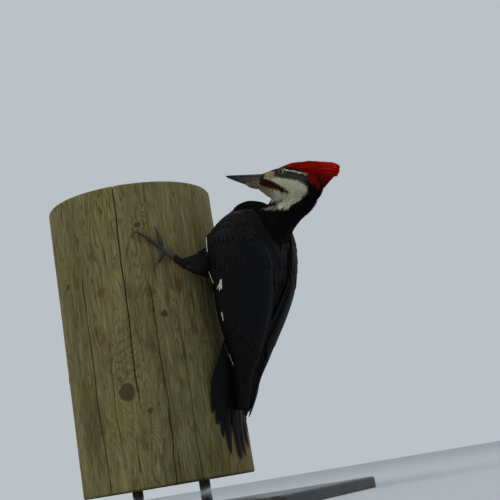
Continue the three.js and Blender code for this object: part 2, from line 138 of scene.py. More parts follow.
LOWER_BILL = profile(
    (14, TOMIUM, 8.2, 5, 8.5, 1.9),
    (29, TOMIUM, 6.8, 5, 11.2, 1.8),
    (41, TOMIUM, 5.1, 4, 8.6, 1.7),
    (54, TOMIUM, 3.4, 3, 4.9, 1.8),
    (63, TOMIUM, 2.1, 2, 2.1, 2),
    (66.4, TOMIUM, 1.3, 1, 0.8, 2),
)
# Along a folded wing: place on the trunk's line, turn of the lower and upper edge, thickness.
WING = profile(
    (0.83, -24, 12, 2.5),
    (0.77, -36, 30, 7),
    (0.69, -38, 43, 9),
    (0.615, -36, 57, 9.4),
    (0.54, -36, 69, 9.4),
    (0.46, -36, 75, 9.4),
    (0.385, -36, 80, 9),
    (0.31, -30, 84, 8),
    (0.23, -12, 86, 7),
    (0.15, 16, 87, 6),
    (0.08, 42, 87, 4.5),
    (0.03, 62, 87, 3),
)
# The outer flight feathers' tips: place on the trunk's line, turn and lift.
PRIMARY_TIPS = profile((0.012, 76, 4.6), (0.03, 60, 3.9), (0.065, 38, 3.2), (0.12, 14, 2.6), (0.2, -16, 2))
# The tail feathers' tips from the middle pair out: sideways, up and half-width.
RECTRICES = [(6, 1.5, 8.6), (23, 12, 8.2), (31, 32, 7.8), (37, 47.5, 7.3), (42, 62.5, 6.6)]
TAIL_MIDDLE = 4.0
TAIL_TOP = 162.0
FOOT = (-38.3, 267, 5.2)
HEEL = (-29, 242, 22)
# Turn and height of a toe's end, its thickness, the turn and height of its claw's tip, the claw's rise.
TOES = [
    (-31.5, 261, 1.8, -27.3, 255.5, 4),
    (-39.9, 288, 2.4, -41.5, 298.5, 5),
    (-49.8, 289.5, 2.7, -58, 288.5, 8.5),
    (-41.5, 253, 2.4, -46.3, 243, 5.5),
]
RIGHT_FOOT_DROP = 9.0


# ---- helpers: numbers
def lerp(a, b, t):
    return a + (b - a) * t


def smoothstep(x, low, high):
    t = np.clip((np.asarray(x, float) - low) / (high - low), 0, 1)
    return t * t * (3 - 2 * t)


def unit(v):
    return v / np.maximum(np.linalg.norm(v, axis=-1, keepdims=True), 1e-9)


def place(out, right, up):
    out, right, up = np.broadcast_arrays(out, right, up)
    return np.stack([POLE_X + out, right, TAIL_TIP_Z + up], -1).astype(float)


def catmull(points, t):
    """A smooth curve through points, at each t from 0 to 1."""
    points = np.array(points, float)
    ends = np.concatenate([[2 * points[0] - points[1]], points, [2 * points[-1] - points[-2]]])
    at = np.clip(np.asarray(t, float), 0, 1) * (len(points) - 1)
    i = np.minimum(at.astype(int), len(points) - 2)
    return cubic(*(ends[i + k] for k in range(4)), (at - i)[:, None])


class Ripple:
    """Smooth noise between about -1 and 1 as a sum of waves in many directions."""

    def __init__(self, seed, size, waves=24):
        draw = np.random.default_rng(seed)
        self.k = unit(draw.normal(size=(waves, 3))) * draw.uniform(0.6, 2.2, (waves, 1)) * 2 * math.pi / size
        self.phase = draw.uniform(0, 2 * math.pi, waves)

    def __call__(self, points):
        waves = np.sin(points.reshape(-1, 3) @ self.k.T + self.phase)
        return (waves.sum(-1) / math.sqrt(len(self.phase)) * 0.8).reshape(points.shape[:-1])


# ---- helpers: the bird's surfaces
def on_body(line, t, turn, lift):
    """A point on the body: turn is 0 at its left side, 90 at its back and -90 at its belly."""
    t, turn, lift = np.broadcast_arrays(np.asarray(t, float), turn, lift)
    at = line(t)
    spot = lambda row: place(row[..., 0], row[..., 1], row[..., 2])
    along = unit(spot(line(np.minimum(t + 0.01, 1))) - spot(line(np.maximum(t - 0.01, 0))))
    yaw = np.radians(at[..., 6])
    level = np.stack([np.sin(yaw), -np.cos(yaw), np.zeros_like(yaw)], -1)
    back = unit(np.cross(along, level))
    left = np.cross(back, along)
    c, s = np.cos(np.radians(turn)), np.sin(np.radians(turn))
    deep = np.where(s > 0, at[..., 4], at[..., 5]) + lift
    return spot(at) + left * (c * (at[..., 3] + lift))[..., None] + back * (s * deep)[..., None]


_yaw, _pitch = math.radians(HEAD_YAW), math.radians(HEAD_PITCH)
HEAD_FORWARD = np.array(
    [-math.cos(_yaw) * math.cos(_pitch), -math.sin(_yaw) * math.cos(_pitch), math.sin(_pitch)]
)
HEAD_LEFT = np.array([math.sin(_yaw), -math.cos(_yaw), 0.0])
HEAD_UP = np.cross(HEAD_FORWARD, HEAD_LEFT)
BROW = place(*HEAD_AT)


def in_head(forward, left, up):
    forward, left, up = np.broadcast_arrays(forward, left, up)
    return (
        BROW
        + forward[..., None] * HEAD_FORWARD
        + left[..., None] * HEAD_LEFT
        + up[..., None] * HEAD_UP
    )


def head_coordinates(points):
    """Forward, to the left and up from the brow."""
    away = points - BROW
    return away @ HEAD_FORWARD, away @ HEAD_LEFT, away @ HEAD_UP


def on_head(line, t, turn, grow):
    """A point on a piece of the head: turn is 0 at its left and 90 at its top, in degrees."""
    t, turn, grow = np.broadcast_arrays(np.asarray(t, float), turn, grow)
    at = line(t)
    c, s = np.cos(np.radians(turn)), np.sin(np.radians(turn))
    power = at[..., 5]
    reach = (np.abs(c) ** power + np.abs(s) ** power) ** (-1 / power)
    height = np.where(s > 0, at[..., 3], at[..., 4]) + grow
    return in_head(at[..., 0], reach * c * (at[..., 2] + grow), at[..., 1] + reach * s * height)


def on_wing(side, s, v, lift):
    """A point of the folded wing's outer face: s from shoulder to tip, v from lower to upper edge."""
    s, v, lift = np.broadcast_arrays(np.asarray(s, float), v, lift)
    at = WING(s)
    turn = lerp(at[..., 1], at[..., 2], v)
    fullness = 0.35 + 0.65 * np.sqrt(np.sin(np.pi * np.clip(v, 0.001, 0.999)))
    return over_body(side, at[..., 0], turn, SEAT + at[..., 3] * fullness + lift)


def over_body(side, over, turn, lift):
    return on_body(TRUNK, over, turn if side < 0 else 180 - turn, lift)


def on_tail(side, up, lift):
    rise = 30 * smoothstep(up, 35, 175)
    wrap = side**2 / lerp(2 * POLE_RADII[0], 105, smoothstep(up, 40, 110))
    return place(POLE_RADII[0] + 2.2 + rise - wrap + lift, side, up)


def on_pole(turn, up, lift):
    height = (TAIL_TIP_Z + up - POLE_BOTTOM) / POLE_LENGTH
    out = lerp(*POLE_RADII, height) + lift
    return place(out * np.cos(np.radians(turn)), out * np.sin(np.radians(turn)), up)


# ---- helpers: meshes
def new_object(name, points, quads=(), ngons=(), tris=(), smooth=True):
    """An object from points in millimetres; ngons is an array with one polygon a row."""
    mesh = bpy.data.meshes.new(name)
    sets = [np.asarray(f, np.int32) for f in (quads, ngons, tris) if len(f)]
    loops = np.concatenate([f.ravel() for f in sets])
    totals = np.concatenate([np.full(len(f), f.shape[1], np.int32) for f in sets])
    starts = np.concatenate([[0], np.cumsum(totals)[:-1]]).astype(np.int32)
    mesh.vertices.add(len(points))
    mesh.vertices.foreach_set("co", (np.asarray(points, float) * MM).ravel())
    mesh.loops.add(len(loops))
    mesh.loops.foreach_set("vertex_index", loops)
    mesh.polygons.add(len(totals))
    mesh.polygons.foreach_set("loop_start", starts)
    mesh.polygons.foreach_set("use_smooth", np.full(len(totals), smooth))
    mesh.update(calc_edges=True)
    mesh.validate()
    made = bpy.data.objects.new(name, mesh)
    bpy.context.scene.collection.objects.link(made)
    return made


def ring_faces(pieces, rings, sides):
    """Faces of many lofts at once: the walls as quads and the two end caps of each as polygons."""
    base = np.arange(pieces)[:, None, None] * rings * sides
    row = base + np.arange(rings - 1)[None, :, None] * sides
    k = np.arange(sides)[None, None, :]
    following = (k + 1) % sides
    walls = np.stack([row + k, row + following, row + sides + following, row + sides + k], -1)
    first = np.arange(pieces)[:, None] * rings * sides + np.arange(sides)[::-1][None]
    last = np.arange(pieces)[:, None] * rings * sides + (rings - 1) * sides + np.arange(sides)[None]
    return walls.reshape(-1, 4), np.concatenate([first, last])


def closed_band(rings, sides):
    """Quads of a tube that runs round and joins its own beginning."""
    row, k = np.arange(rings)[:, None] * sides, np.arange(sides)[None]
    following, after = np.roll(row, -1, 0), np.roll(k, -1, 1)
    return np.stack([row + k, row + after, following + after, following + k], -1).reshape(-1, 4)


def lofts(name, grid, smooth=True):
    """An object from lofts of shape (pieces, rings, sides, 3)."""
    pieces, rings, sides, _ = grid.shape
    walls, caps = ring_faces(pieces, rings, sides)
    return new_object(name, grid.reshape(-1, 3), walls, caps, smooth=smooth)


def set_colours(obj, colours, name="tint"):
    layer = obj.data.color_attributes.new(name, "FLOAT_COLOR", "POINT")
    full = np.ones((len(obj.data.vertices), 4), np.float32)
    full[:, :3] = np.asarray(colours).reshape(-1, 3)
    layer.data.foreach_set("color", full.ravel())


def set_values(obj, name, values):
    layer = obj.data.attributes.new(name, "FLOAT", "POINT")
    layer.data.foreach_set("value", np.asarray(values, np.float32).ravel())


def set_map(obj, name, places):
    """A UV map from one place for each vertex."""
    layer = obj.data.uv_layers.new(name=name)
    index = np.zeros(len(obj.data.loops), np.int32)
    obj.data.loops.foreach_get("vertex_index", index)
    layer.data.foreach_set("uv", np.asarray(places, np.float32).reshape(-1, 2)[index].ravel())


def read_all(rows, name, kind=float):
    """A property of all rows of a mesh, three numbers each."""
    values = np.zeros(len(rows) * 3, kind)
    rows.foreach_get(name, values)
    return values.reshape(-1, 3)


def finish_piece(obj, material, replaced=()):
    obj.data.materials.append(material)
    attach(obj, "root")
    if replaced:
        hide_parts(*replaced)
    return obj


# ---- helpers: materials
class Nodes:
    """A material's node tree, written as short calls."""

    def __init__(self, name):
        self.material = bpy.data.materials.new(name)
        self.material.use_nodes = True
        self.tree = self.material.node_tree
        self.shader = self.tree.nodes["Principled BSDF"]

    def node(self, kind, inputs=None, **settings):
        made = self.tree.nodes.new(kind)
        for key, value in settings.items():
            setattr(made, key, value)
        for key, value in (inputs or {}).items():
            self.plug(made.inputs[key], value)
        return made

    def plug(self, socket, value):
        if isinstance(value, bpy.types.NodeSocket):
            self.tree.links.new(value, socket)
        else:
            socket.default_value = value

    def set(self, **values):
        for key, value in values.items():
            self.plug(self.shader.inputs[key.replace("_", " ")], value)

    def tinted(self, shade):
        """Sets the base colour to the mesh's own tint, times the grey value shade."""
        grey = self.node("ShaderNodeCombineColor", {0: shade, 1: shade, 2: shade}).outputs[0]
        self.set(Base_Color=self.mix(1.0, self.attribute("tint", "Color"), grey, "MULTIPLY"))

    def math(self, operation, a, b=0.0, c=0.0):
        return self.node("ShaderNodeMath", {0: a, 1: b, 2: c}, operation=operation).outputs[0]

    def add(self, a, b):
        return self.math("ADD", a, b)

    def times(self, a, b):
        return self.math("MULTIPLY", a, b)

    def off(self, a, b):
        """How far a is from b, at each point."""
        return self.math("ABSOLUTE", self.math("SUBTRACT", a, b))

    def parts(self, vector):
        return self.node("ShaderNodeSeparateXYZ", {0: vector}).outputs

    def attribute(self, name, output="Fac"):
        return self.node("ShaderNodeAttribute", attribute_name=name).outputs[output]

    def position(self, scale=(1, 1, 1)):
        where = self.node("ShaderNodeTexCoord").outputs["Object"]
        return self.node("ShaderNodeMapping", {"Vector": where, "Scale": scale}).outputs[0]

    def noise(self, vector, scale, detail=3.0, roughness=0.5):
        values = {"Vector": vector, "Scale": scale, "Detail": detail, "Roughness": roughness}
        return self.node("ShaderNodeTexNoise", values).outputs["Fac"]

    def ramp(self, factor, stops):
        """Grey levels: each stop is a place from 0 to 1 and the level there."""
        made = self.node("ShaderNodeValToRGB", {"Fac": factor})
        band = made.color_ramp
        while len(band.elements) < len(stops):
            band.elements.new(0.5)
        for element, (at, grey) in zip(band.elements, stops):
            element.position, element.color = at, (grey, grey, grey, 1)
        return made.outputs["Color"]

    def mix(self, factor, a, b, blend="MIX"):
        made = self.node("ShaderNodeMix", data_type="RGBA", blend_type=blend)
        for socket, value in ((0, factor), (6, a), (7, b)):
            self.plug(made.inputs[socket], (*value, 1) if isinstance(value, tuple) else value)
        return made.outputs[2]

    def remap(self, value, low, high, to_low, to_high):
        return self.node("ShaderNodeMapRange", {0: value, 1: low, 2: high, 3: to_low, 4: to_high}).outputs[0]

    def bump(self, height, strength, distance, under=None):
        values = {"Height": height, "Strength": strength, "Distance": distance}
        if under is not None:
            values["Normal"] = under
        return self.node("ShaderNodeBump", values).outputs[0]


# ---- the skin
COAT_DEPTH = 2.0  # how far the skin lies inside the trunk's and the wings' solids


def tube(points, radii, sides, rings, dorsal, shape=lambda s, turn: 1.0):
    """A limb's rings: turn 0 is on the side of dorsal. shape scales the radius."""
    t = np.linspace(0, 1, rings)
    centre = catmull(points, t)
    radius = catmull(np.array(radii, float)[:, None], t)[:, 0]
    along = unit(np.gradient(centre, axis=0))
    up = unit(dorsal - (along * dorsal).sum(-1, keepdims=True) * along)
    side = np.cross(along, up)
    turn = np.arange(sides) / sides * 2 * math.pi
    size = radius[:, None] * np.broadcast_to(shape(t[:, None], turn[None]), (rings, sides))
    around = up[:, None] * np.cos(turn)[None, :, None] + side[:, None] * np.sin(turn)[None, :, None]
    return centre[:, None] + around * size[..., None]


class Leg:
    """The joints of one leg: side is -1 for the left and 1 for the right."""

    def __init__(self, side):
        drop = 0 if side < 0 else RIGHT_FOOT_DROP
        self.spot = lambda turn, up, lift: on_pole(-side * turn, up - drop, lift)
        self.heel = self.spot(*HEEL)
        self.ankle = self.spot(*FOOT)
        self.hip = place(150, side * 14, 236)
        self.knee = place(131, side * 26, 245 - drop / 2)
        shin = lerp(self.knee, self.heel, 0.55)
        self.thigh = [self.hip, self.knee, shin, lerp(self.heel, self.ankle, 0.2)]
        instep = lerp(self.heel, self.ankle, 0.5)
        self.tarsus = [lerp(self.heel, self.knee, 0.3), self.heel, instep, self.ankle]
        self.outward = np.array([self.ankle[0] - POLE_X, self.ankle[1], 0.0])


LEGS = {"left": Leg(-1), "right": Leg(1)}
SIDES = {"left": -1, "right": 1}


def beside_leg(leg, points):
    """How far down a leg each point lies, from 0 at the knee to 1 at the heel, and how far off its line."""
    bone = leg.heel - leg.knee
    t = np.clip(((points - leg.knee) @ bone) / (bone @ bone), 0, 1)
    return t, np.linalg.norm(points - (leg.knee + t[:, None] * bone), axis=1)


def skin():
    """One closed surface for all the flesh, so that no seam shows between its parts."""
    rings, sides = 60, 64
    turn = np.arange(sides) * 360 / sides
    pieces = []
    for line, low, depth in ((TRUNK, RUMP, COAT_DEPTH), (NECK, 0, 1.4)):
        t = np.linspace(low, 1, rings)[:, None]
        pieces.append(on_body(line, t, turn[None], -depth))
    for line, high, depth in ((HEAD, 0.98, 1.0), (CREST, 0.86, 2.6)):
        t = np.linspace(0.02, high, rings)[:, None]
        pieces.append(on_head(line, t, turn[None], -depth))
    for leg in LEGS.values():
        pieces.append(tube(leg.thigh, [20, 19, 12, 3.6], sides, rings, np.array([0, 0, 1.0])))
    for side in SIDES.values():
        s = np.linspace(0.02, 0.8, rings)[:, None]
        v = np.linspace(0.04, 0.96, sides // 2)[None]
        outer = on_wing(side, s, v, -COAT_DEPTH - 1.5 * s)
        inner = on_wing(side, s, v, -12 + 0 * s)
        pieces.append(np.concatenate([outer, inner[:, ::-1]], 1))
    raw = lofts("raw_skin", np.stack(pieces))
    shape = bmesh.new()
    shape.from_mesh(raw.data)
    bmesh.ops.recalc_face_normals(shape, faces=shape.faces)
    shape.to_mesh(raw.data)
    shape.free()
    remesh = raw.modifiers.new("whole", "REMESH")
    remesh.mode = "VOXEL"
    remesh.voxel_size = 1.3 * MM
    soften = raw.modifiers.new("soft", "SMOOTH")
    soften.factor, soften.iterations = 0.6, 8
    mesh = bpy.data.meshes.new_from_object(raw.evaluated_get(bpy.context.evaluated_depsgraph_get()))
    bpy.data.objects.remove(raw)
    made = bpy.data.objects.new("skin", mesh)
    bpy.context.scene.collection.objects.link(made)
    mesh.shade_smooth()
    return made


def skin_material():
    """Down: dark fluff that runs along the body, over the mesh's own tint."""
    m = Nodes("skin_down")
    fluff = m.noise(m.position((1, 1, 0.35)), 1400, 3)
    blot = m.noise(m.position(), 120, 3)
    m.tinted(m.times(m.remap(fluff, 0.3, 0.7, 0.7, 1.0), m.remap(blot, 0.3, 0.7, 0.85, 1.05)))
    m.set(Roughness=m.remap(fluff, 0.3, 0.7, 0.7, 0.95), Specular_IOR_Level=0.2)
    m.set(Normal=m.bump(fluff, 0.6, 0.0004))
    return m.material


class Surface:
    """Finds the nearest point of a mesh and its smooth normal, in millimetres."""

    def __init__(self, obj):
        mesh = obj.data
        mesh.calc_loop_triangles()
        self.points = read_all(mesh.vertices, "co") / MM
        self.normals = read_all(mesh.vertices, "normal")
        self.triangles = read_all(mesh.loop_triangles, "vertices", np.int32)
        self.tree = BVHTree.FromPolygons(self.points.tolist(), self.triangles.tolist())

    def nearest(self, points):
        where, normal = np.empty_like(points), np.empty_like(points)
        for i, point in enumerate(points):
            spot, _, face, _ = self.tree.find_nearest(point)
            where[i] = spot
            corners = self.triangles[face]
            weight = 1 / (np.linalg.norm(self.points[corners] - where[i], axis=1) + 0.05)
            normal[i] = weight @ self.normals[corners]
        return where, unit(normal)

    def sample(self, draw, count, weigh):
        """Random points, with a density that weigh gives for each triangle's middle."""
        corners = self.points[self.triangles]
        area = np.linalg.norm(np.cross(corners[:, 1] - corners[:, 0], corners[:, 2] - corners[:, 0]), axis=1)
        share = np.cumsum(area * weigh(corners.mean(1)))
        face = np.searchsorted(share, draw.uniform(0, share[-1], count))
        a, b = draw.uniform(0, 1, (2, count, 1))
        flip = a + b > 1
        a, b = np.where(flip, 1 - a, a), np.where(flip, 1 - b, b)
        mix = lambda values: values[:, 0] * (1 - a - b) + values[:, 1] * a + values[:, 2] * b
        return mix(corners[face]), unit(mix(self.normals[self.triangles[face]]))


def thin_out(points, spacing):
    """Which of the points to keep, so that none is nearer to an earlier one than its own spacing."""
    cell = float(spacing.min())
    cells = np.floor(points / cell).astype(int).tolist()
    spans = np.ceil(spacing / cell).astype(int).tolist()
    around = {span: list(itertools.product(range(-span, span + 1), repeat=3)) for span in set(spans)}
    spots, gaps, taken = points.tolist(), spacing.tolist(), {}

    def crowded(i):
        x, y, z = cells[i]
        for dx, dy, dz in around[spans[i]]:
            j = taken.get((x + dx, y + dy, z + dz))
            if j is not None and math.dist(spots[i], spots[j]) < gaps[i]:
                return True
        return False

    kept = []
    for i in range(len(spots)):
        if not crowded(i):
            taken[tuple(cells[i])] = i
            kept.append(i)
    return np.array(kept)


# ---- the lie of the coat
def spine_line():
    """The line that the coat follows, from the bill to the tail, with its axes for the unwrap."""
    rows = [in_head(f, 0.0, u) for f, u in ((36, -12), (20, -12), (0, -11), (-16, -12), (-26, -20))]
    neck = NECK(np.linspace(1, 0.2, 8))
    rows += list(place(neck[:, 0], neck[:, 1], neck[:, 2]))
    trunk = TRUNK(np.linspace(0.62, 0.0, 16))
    rows += list(place(trunk[:, 0] - 3, trunk[:, 1], trunk[:, 2]))
    line = catmull(rows, np.linspace(0, 1, 140))
    along = unit(np.gradient(line, axis=0))
    left = unit(np.cross(along, np.array([1.0, 0, 0.2])))
    back = unit(np.cross(left, along))
    length = np.concatenate([[0], np.cumsum(np.linalg.norm(np.diff(line, axis=0), axis=1))])
    return line, along, left, back, length


SPINE, SPINE_ALONG, SPINE_LEFT, SPINE_BACK, SPINE_LENGTH = spine_line()


def along_spine(points, chunk=15000):
    """For each point: how far along the spine it lies, the coat's lie there, and its place on the unwrap."""
    if len(points) > chunk:
        parts = [along_spine(points[i : i + chunk]) for i in range(0, len(points), chunk)]
        return tuple(np.concatenate(values) for values in zip(*parts))
    far = ((points[:, None] - SPINE[None]) ** 2).sum(-1)
    nearest = far.argmin(1)
    weight = np.exp(-(far - far.min(1, keepdims=True)) / (2 * 14.0**2))
    weight /= weight.sum(1, keepdims=True)
    lie = unit(weight @ SPINE_ALONG)
    length = weight @ SPINE_LENGTH
    away = points - SPINE[nearest]
    turn = np.arctan2((away * SPINE_BACK[nearest]).sum(-1), (away * SPINE_LEFT[nearest]).sum(-1))
    around = 0.02 + 0.96 * (turn / (2 * math.pi) + 0.5)
    unwrapped = np.stack([around, 0.02 + 0.96 * length / SPINE_LENGTH[-1]], -1)
    return length, lie, unwrapped


def lie_of_coat(points, normals):
    """The direction in the skin that feathers point in."""
    lie = along_spine(points)[1]
    forward, _, up = head_coordinates(points)
    crown = smoothstep(up, -16, -6) * smoothstep(forward, -52, -44)
    lie = lie + (-HEAD_FORWARD - lie) * crown[:, None]
    for leg in LEGS.values():
        down, far = beside_leg(leg, points)
        near = (1 - smoothstep(far, 12, 24)) * smoothstep(down, 0.05, 0.4)
        lie = lie + (unit(leg.heel - leg.knee) * 1.5 - lie) * near[:, None]
    return unit(lie - (lie * normals).sum(-1, keepdims=True) * normals)


# ---- markings
BLACK = np.array([0.0040, 0.0040, 0.0044])
SLATE = np.array([0.072, 0.073, 0.060])
WHITE = np.array([0.80, 0.78, 0.56])
BUFF = np.array([0.42, 0.33, 0.15])
BRISTLE = np.array([0.020, 0.020, 0.022])
MAROON = np.array([0.058, 0.007, 0.004])
BROW_RED = np.array([0.11, 0.018, 0.008])
CREST_RED = np.array([0.52, 0.006, 0.001])
# the crest's red darkened by painted shade, for its lower feathers
CREST_SHADED = np.array([0.075, 0.0018, 0.0008])
CREST_BRIGHT = np.array([0.70, 0.020, 0.004])
SHIN = np.array([0.026, 0.026, 0.022])

# Stripes on the head: forward of the brow, up from it, and the stripe's half-width there.
CHEEK = [
    [
        (22, -9, 2.4),
        (8, -13.5, 3.6),
        (-8, -18.5, 6.0),
        (-22, -24, 10),
        (-25, -31, 11),
        (-14, -45, 10),
        (2, -55, 7.5),
        (18, -58, 4),
    ],
    [(2, -51, 5), (20, -49.5, 2.5)],
    [(5, -33.5, 2.5), (-7, -34, 4.5), (-16, -38, 5.5)],
]
THROAT = [(34, -20, 3.6), (20, -24, 4.6), (8, -30, 6.0), (-2, -32, 3.0)]
THROAT_EDGE = [(34, -48, 4), (21, -45.8, 3.0), (10, -41.5, 2.0), (-1, -38.5, 1.1), (-8, -36.5, 0.2)]
MALAR_EDGE = [(30, -14.5, 3.2), (18, -17.3, 4.8), (7, -22, 4.2), (-4.5, -27, 0.6)]
MALAR = [(30, -14.5, 2.3), (18, -17.3, 4.0), (7, -22, 3.3), (-4.5, -27, 0.2)]
SMUDGE = [(-5, -28.5, 1.2), (-9, -34, 1.5), (-11, -37, 0.6)]
EYE_STRIPE = [(14, -5, 1.6), (4, -7, 4.0), (-8, -8.5, 4.2), (-22, -11, 4.6), (-36, -16, 5.4), (-44, -24, 8)]
LORES = [(18, -4.5, 2.4), (8, -3, 4), (0, 1, 4)]
SUPERCILIUM = [(-1.5, 1.6, 0.35), (-7, -1.6, 0.75), (-19, -3.4, 0.85), (-31, -5.6, 0.55)]
NOSTRIL = [(21, -9, 2.2), (17, -6.5, 2.6), (13, -5, 1.4)]
# The white ends this far below the brow, at each place forward of it.
CHEEK_LIMIT = ([-37, -31, -20, -9, 19], [20, 30, 41, 49.5, 48.5])
# The crest's lower edge: height at each place behind the brow.
CROWN_EDGE = ([-24, -12, 0, 20, 32, 36, 50], [-2.6, -0.5, 3.0, 0.6, -6, -16, -22])

rough_edge = Ripple(3, 5.0)
fine_edge = Ripple(4, 2.2)


def stripe(forward, up, stations, soft=1.6):
    """How far each spot lies within a stripe through (forward, up, half-width) stations, from 0 to 1."""
    stations = np.array(stations, float)
    spot = np.stack([forward, up], -1)
    best = np.full(len(spot), -99.0)
    for start, end in zip(stations[:-1], stations[1:]):
        a, b = start[:2], end[:2]
        t = np.clip(((spot - a) @ (b - a)) / ((b - a) @ (b - a)), 0, 1)
        far = np.linalg.norm(spot - a - t[:, None] * (b - a), axis=1)
        best = np.maximum(best, lerp(start[2], end[2], t) - far)
    return np.clip(best / soft + 0.5, 0, 1)


def layer(under, over, mask):
    return under + (over - under) * mask[:, None]


def markings(points, rough=1.0):
    """The colour of the plumage at each point of the head, neck, body or legs."""
    forward, left, up = head_coordinates(points)
    jag = rough * (0.9 * rough_edge(points) + 0.6 * fine_edge(points))
    f, u = forward + 0.6 * jag, up + jag
    near_head = (forward > -60) & (np.linalg.norm(points - BROW, axis=1) < 95)
    colour = np.repeat(BLACK[None], len(points), 0)

    cheek = np.max([stripe(f, u, stations) for stations in CHEEK], axis=0)
    cheek = cheek * (1 - smoothstep(-u - np.interp(f, *CHEEK_LIMIT), -2.0, 1.0))
    colour = layer(colour, WHITE, cheek)
    middle = (1 - smoothstep(np.abs(left), 5, 10)) * smoothstep(-up, 22, 30) * smoothstep(forward, -8, 2)
    throat = np.maximum(stripe(f, u, THROAT), middle) * smoothstep(u, -43, -40)
    # painted shade: under the bill the throat's white is dimmed to less than half and tinted buff,
    # brightening back towards the neck
    chin = lerp(0.42 * WHITE, 0.62 * BUFF, 0.5)
    colour = layer(colour, lerp(chin, 0.9 * WHITE, smoothstep(-f, -14, -2)[:, None]), throat)
    colour = layer(colour, BLACK, stripe(f, u, THROAT_EDGE))
    colour = layer(colour, 1.6 * BLACK, stripe(f, u, MALAR_EDGE))
    colour = layer(colour, MAROON, stripe(f, u + 0.5, MALAR))
    smudge = stripe(f, u, SMUDGE, 2.0) * (fine_edge(points * 1.7) > 0.2)
    colour = layer(colour, 0.7 * SLATE, 0.75 * smudge)

    behind_eye = stripe(f, u, EYE_STRIPE)
    colour = layer(colour, SLATE, behind_eye)
    colour = layer(colour, BLACK, smoothstep(-f - 0.35 * u, 30, 44) * behind_eye)
    colour = layer(colour, lerp(BROW_RED, SLATE, 0.45), stripe(f, u, LORES))
    colour = layer(colour, 1.1 * WHITE, stripe(f + 0.3 * jag, u, SUPERCILIUM, 0.7))
    # the skin under the crest takes a red half darkened by painted shade
    crown = smoothstep(u - np.interp(-f, *CROWN_EDGE), -0.5, 1.0) * smoothstep(-f, -13, -3)
    colour = layer(colour, lerp(CREST_SHADED, CREST_RED, 0.55), crown)
    colour = layer(colour, BROW_RED, smoothstep(u, 0, 2.5) * (1 - smoothstep(-f, -12, -2)))
    colour = layer(colour, BUFF, stripe(f, u, NOSTRIL))
    colour = layer(colour, BRISTLE, smoothstep(f, 20.0, 21.5) * smoothstep(u, -12.5, -11.0))
    colour = np.where(near_head[:, None], colour, BLACK[None])
    for leg in LEGS.values():
        down, far = beside_leg(leg, points)
        colour = layer(colour, SHIN, (1 - smoothstep(far, 8, 22)) * smoothstep(down, 0.1, 0.7))
    return colour


# ---- the coat
# A vane's section: how far across, in half-widths, and how high, in thicknesses.
TUFT_SECTION = np.array([(1, -0.4), (0, 1), (-1, -0.4), (0, -0.6)])
VANE_SECTION = np.array([(1, -0.5), (0.55, 0.55), (0, 1), (-0.55, 0.55), (-1, -0.5), (0, -0.7)])
SOFT_OUTLINE = np.array([0.55, 0.95, 1.0, 0.72, 0.18])
TUFT_OUTLINE = np.array([0.7, 1.0, 0.8, 0.12])
# Outline, section, thickness, and how far in degrees the feathers point off the coat's lie.
TUFTS = (TUFT_OUTLINE, TUFT_SECTION, 0.09, 10)
VANES = (SOFT_OUTLINE, VANE_SECTION, 0.10, 7)
PATCH_HALF = 0.0015  # half the size of a small feather's patch on the bake map
# Distance between roots at each length down the spine.
COAT_GAPS = ([0, 18, 45, 70, 95, 130, 400], [0.72, 0.78, 0.88, 1.05, 1.4, 2.3, 2.7])
# Length down the spine, and the feathers' length, width and lift there.
COAT_SIZES = [
    (0, 2.4, 0.5, 0.6),
    (20, 3.2, 0.55, 0.7),
    (45, 4.8, 0.65, 0.9),
    (70, 6.6, 0.8, 1.0),
    (100, 8.5, 1.3, 0.9),
    (130, 11.5, 3.6, 1.2),
    (170, 14.0, 5.6, 1.9),
    (400, 15.0, 6.4, 2.1),
]
COAT_ZONES = (("face", 0, 52), ("head", 52, 82), ("neck", 82, 128), ("body", 128, 1000))


def map_feathers(obj, section, rows, roots, shift=0.0):
    """Gives each small feather a patch of the bake map at its root's place, and the whole of the vane map."""
    t = np.linspace(0, 1, rows)[:, None]
    across = section[None, :, 0]
    patch = np.stack(np.broadcast_arrays(across * PATCH_HALF, t * (2 * PATCH_HALF) + shift), -1)
    set_map(obj, "OFBake", roots[:, None, None] + patch)
    vane = np.stack(np.broadcast_arrays(across * 0.5 + 0.5, t), -1)
    set_map(obj, "Vane", np.broadcast_to(vane, (len(roots), rows, len(section), 2)))


def coat(name, surface, roots, normals, length, width, lift, tone, draw, vanes):
    """Feathers that start at roots on the skin and follow it. length, width and lift have one value each."""
    outline, section, thick, yaw = VANES if vanes else TUFTS
    n, rows = len(roots), len(outline)
    lie = lie_of_coat(roots, normals)
    swing = np.radians(draw.normal(0, yaw, n))[:, None]
    lie = unit(lie * np.cos(swing) + np.cross(normals, lie) * np.sin(swing))
    length = length * draw.uniform(0.85, 1.15, n)
    spot, normal, heading = roots - normals * 0.4, normals, lie
    grid = np.empty((n, rows, len(section), 3))
    steps = np.linspace(0, 1, rows)
    for k, t in enumerate(steps):
        if k:
            ahead = spot + heading * (length * (t - steps[k - 1]))[:, None]
            spot, normal = surface.nearest(ahead)
            heading = unit(heading * 0.75 + lie_of_coat(spot, normal) * 0.25)
            heading = unit(heading - (heading * normal).sum(-1, keepdims=True) * normal)
        side = np.cross(normal, heading)
        high = (lift * (0.12 + 0.88 * t**0.8))[:, None]
        half = (width * outline[k] / 2)[:, None]
        cup = 0.07 * half
        for c, (across, up) in enumerate(section):
            grid[:, k, c] = spot + side * half * across + normal * (high + thick * up - cup * abs(across))
    obj = lofts(name, grid)
    # the random factor is each feather's own tone; the darkening towards the root is painted shade, where the
    # feather before it lies over it
    shade = draw.uniform(0.82, 1.12, (n, 1, 1)) * np.linspace(0.9, 1.0, rows)[None, :, None]
    set_colours(obj, np.repeat((tone[:, None, :] * shade)[:, :, None], len(section), 2))
    map_feathers(obj, section, rows, along_spine(roots)[2], -PATCH_HALF)
    return obj


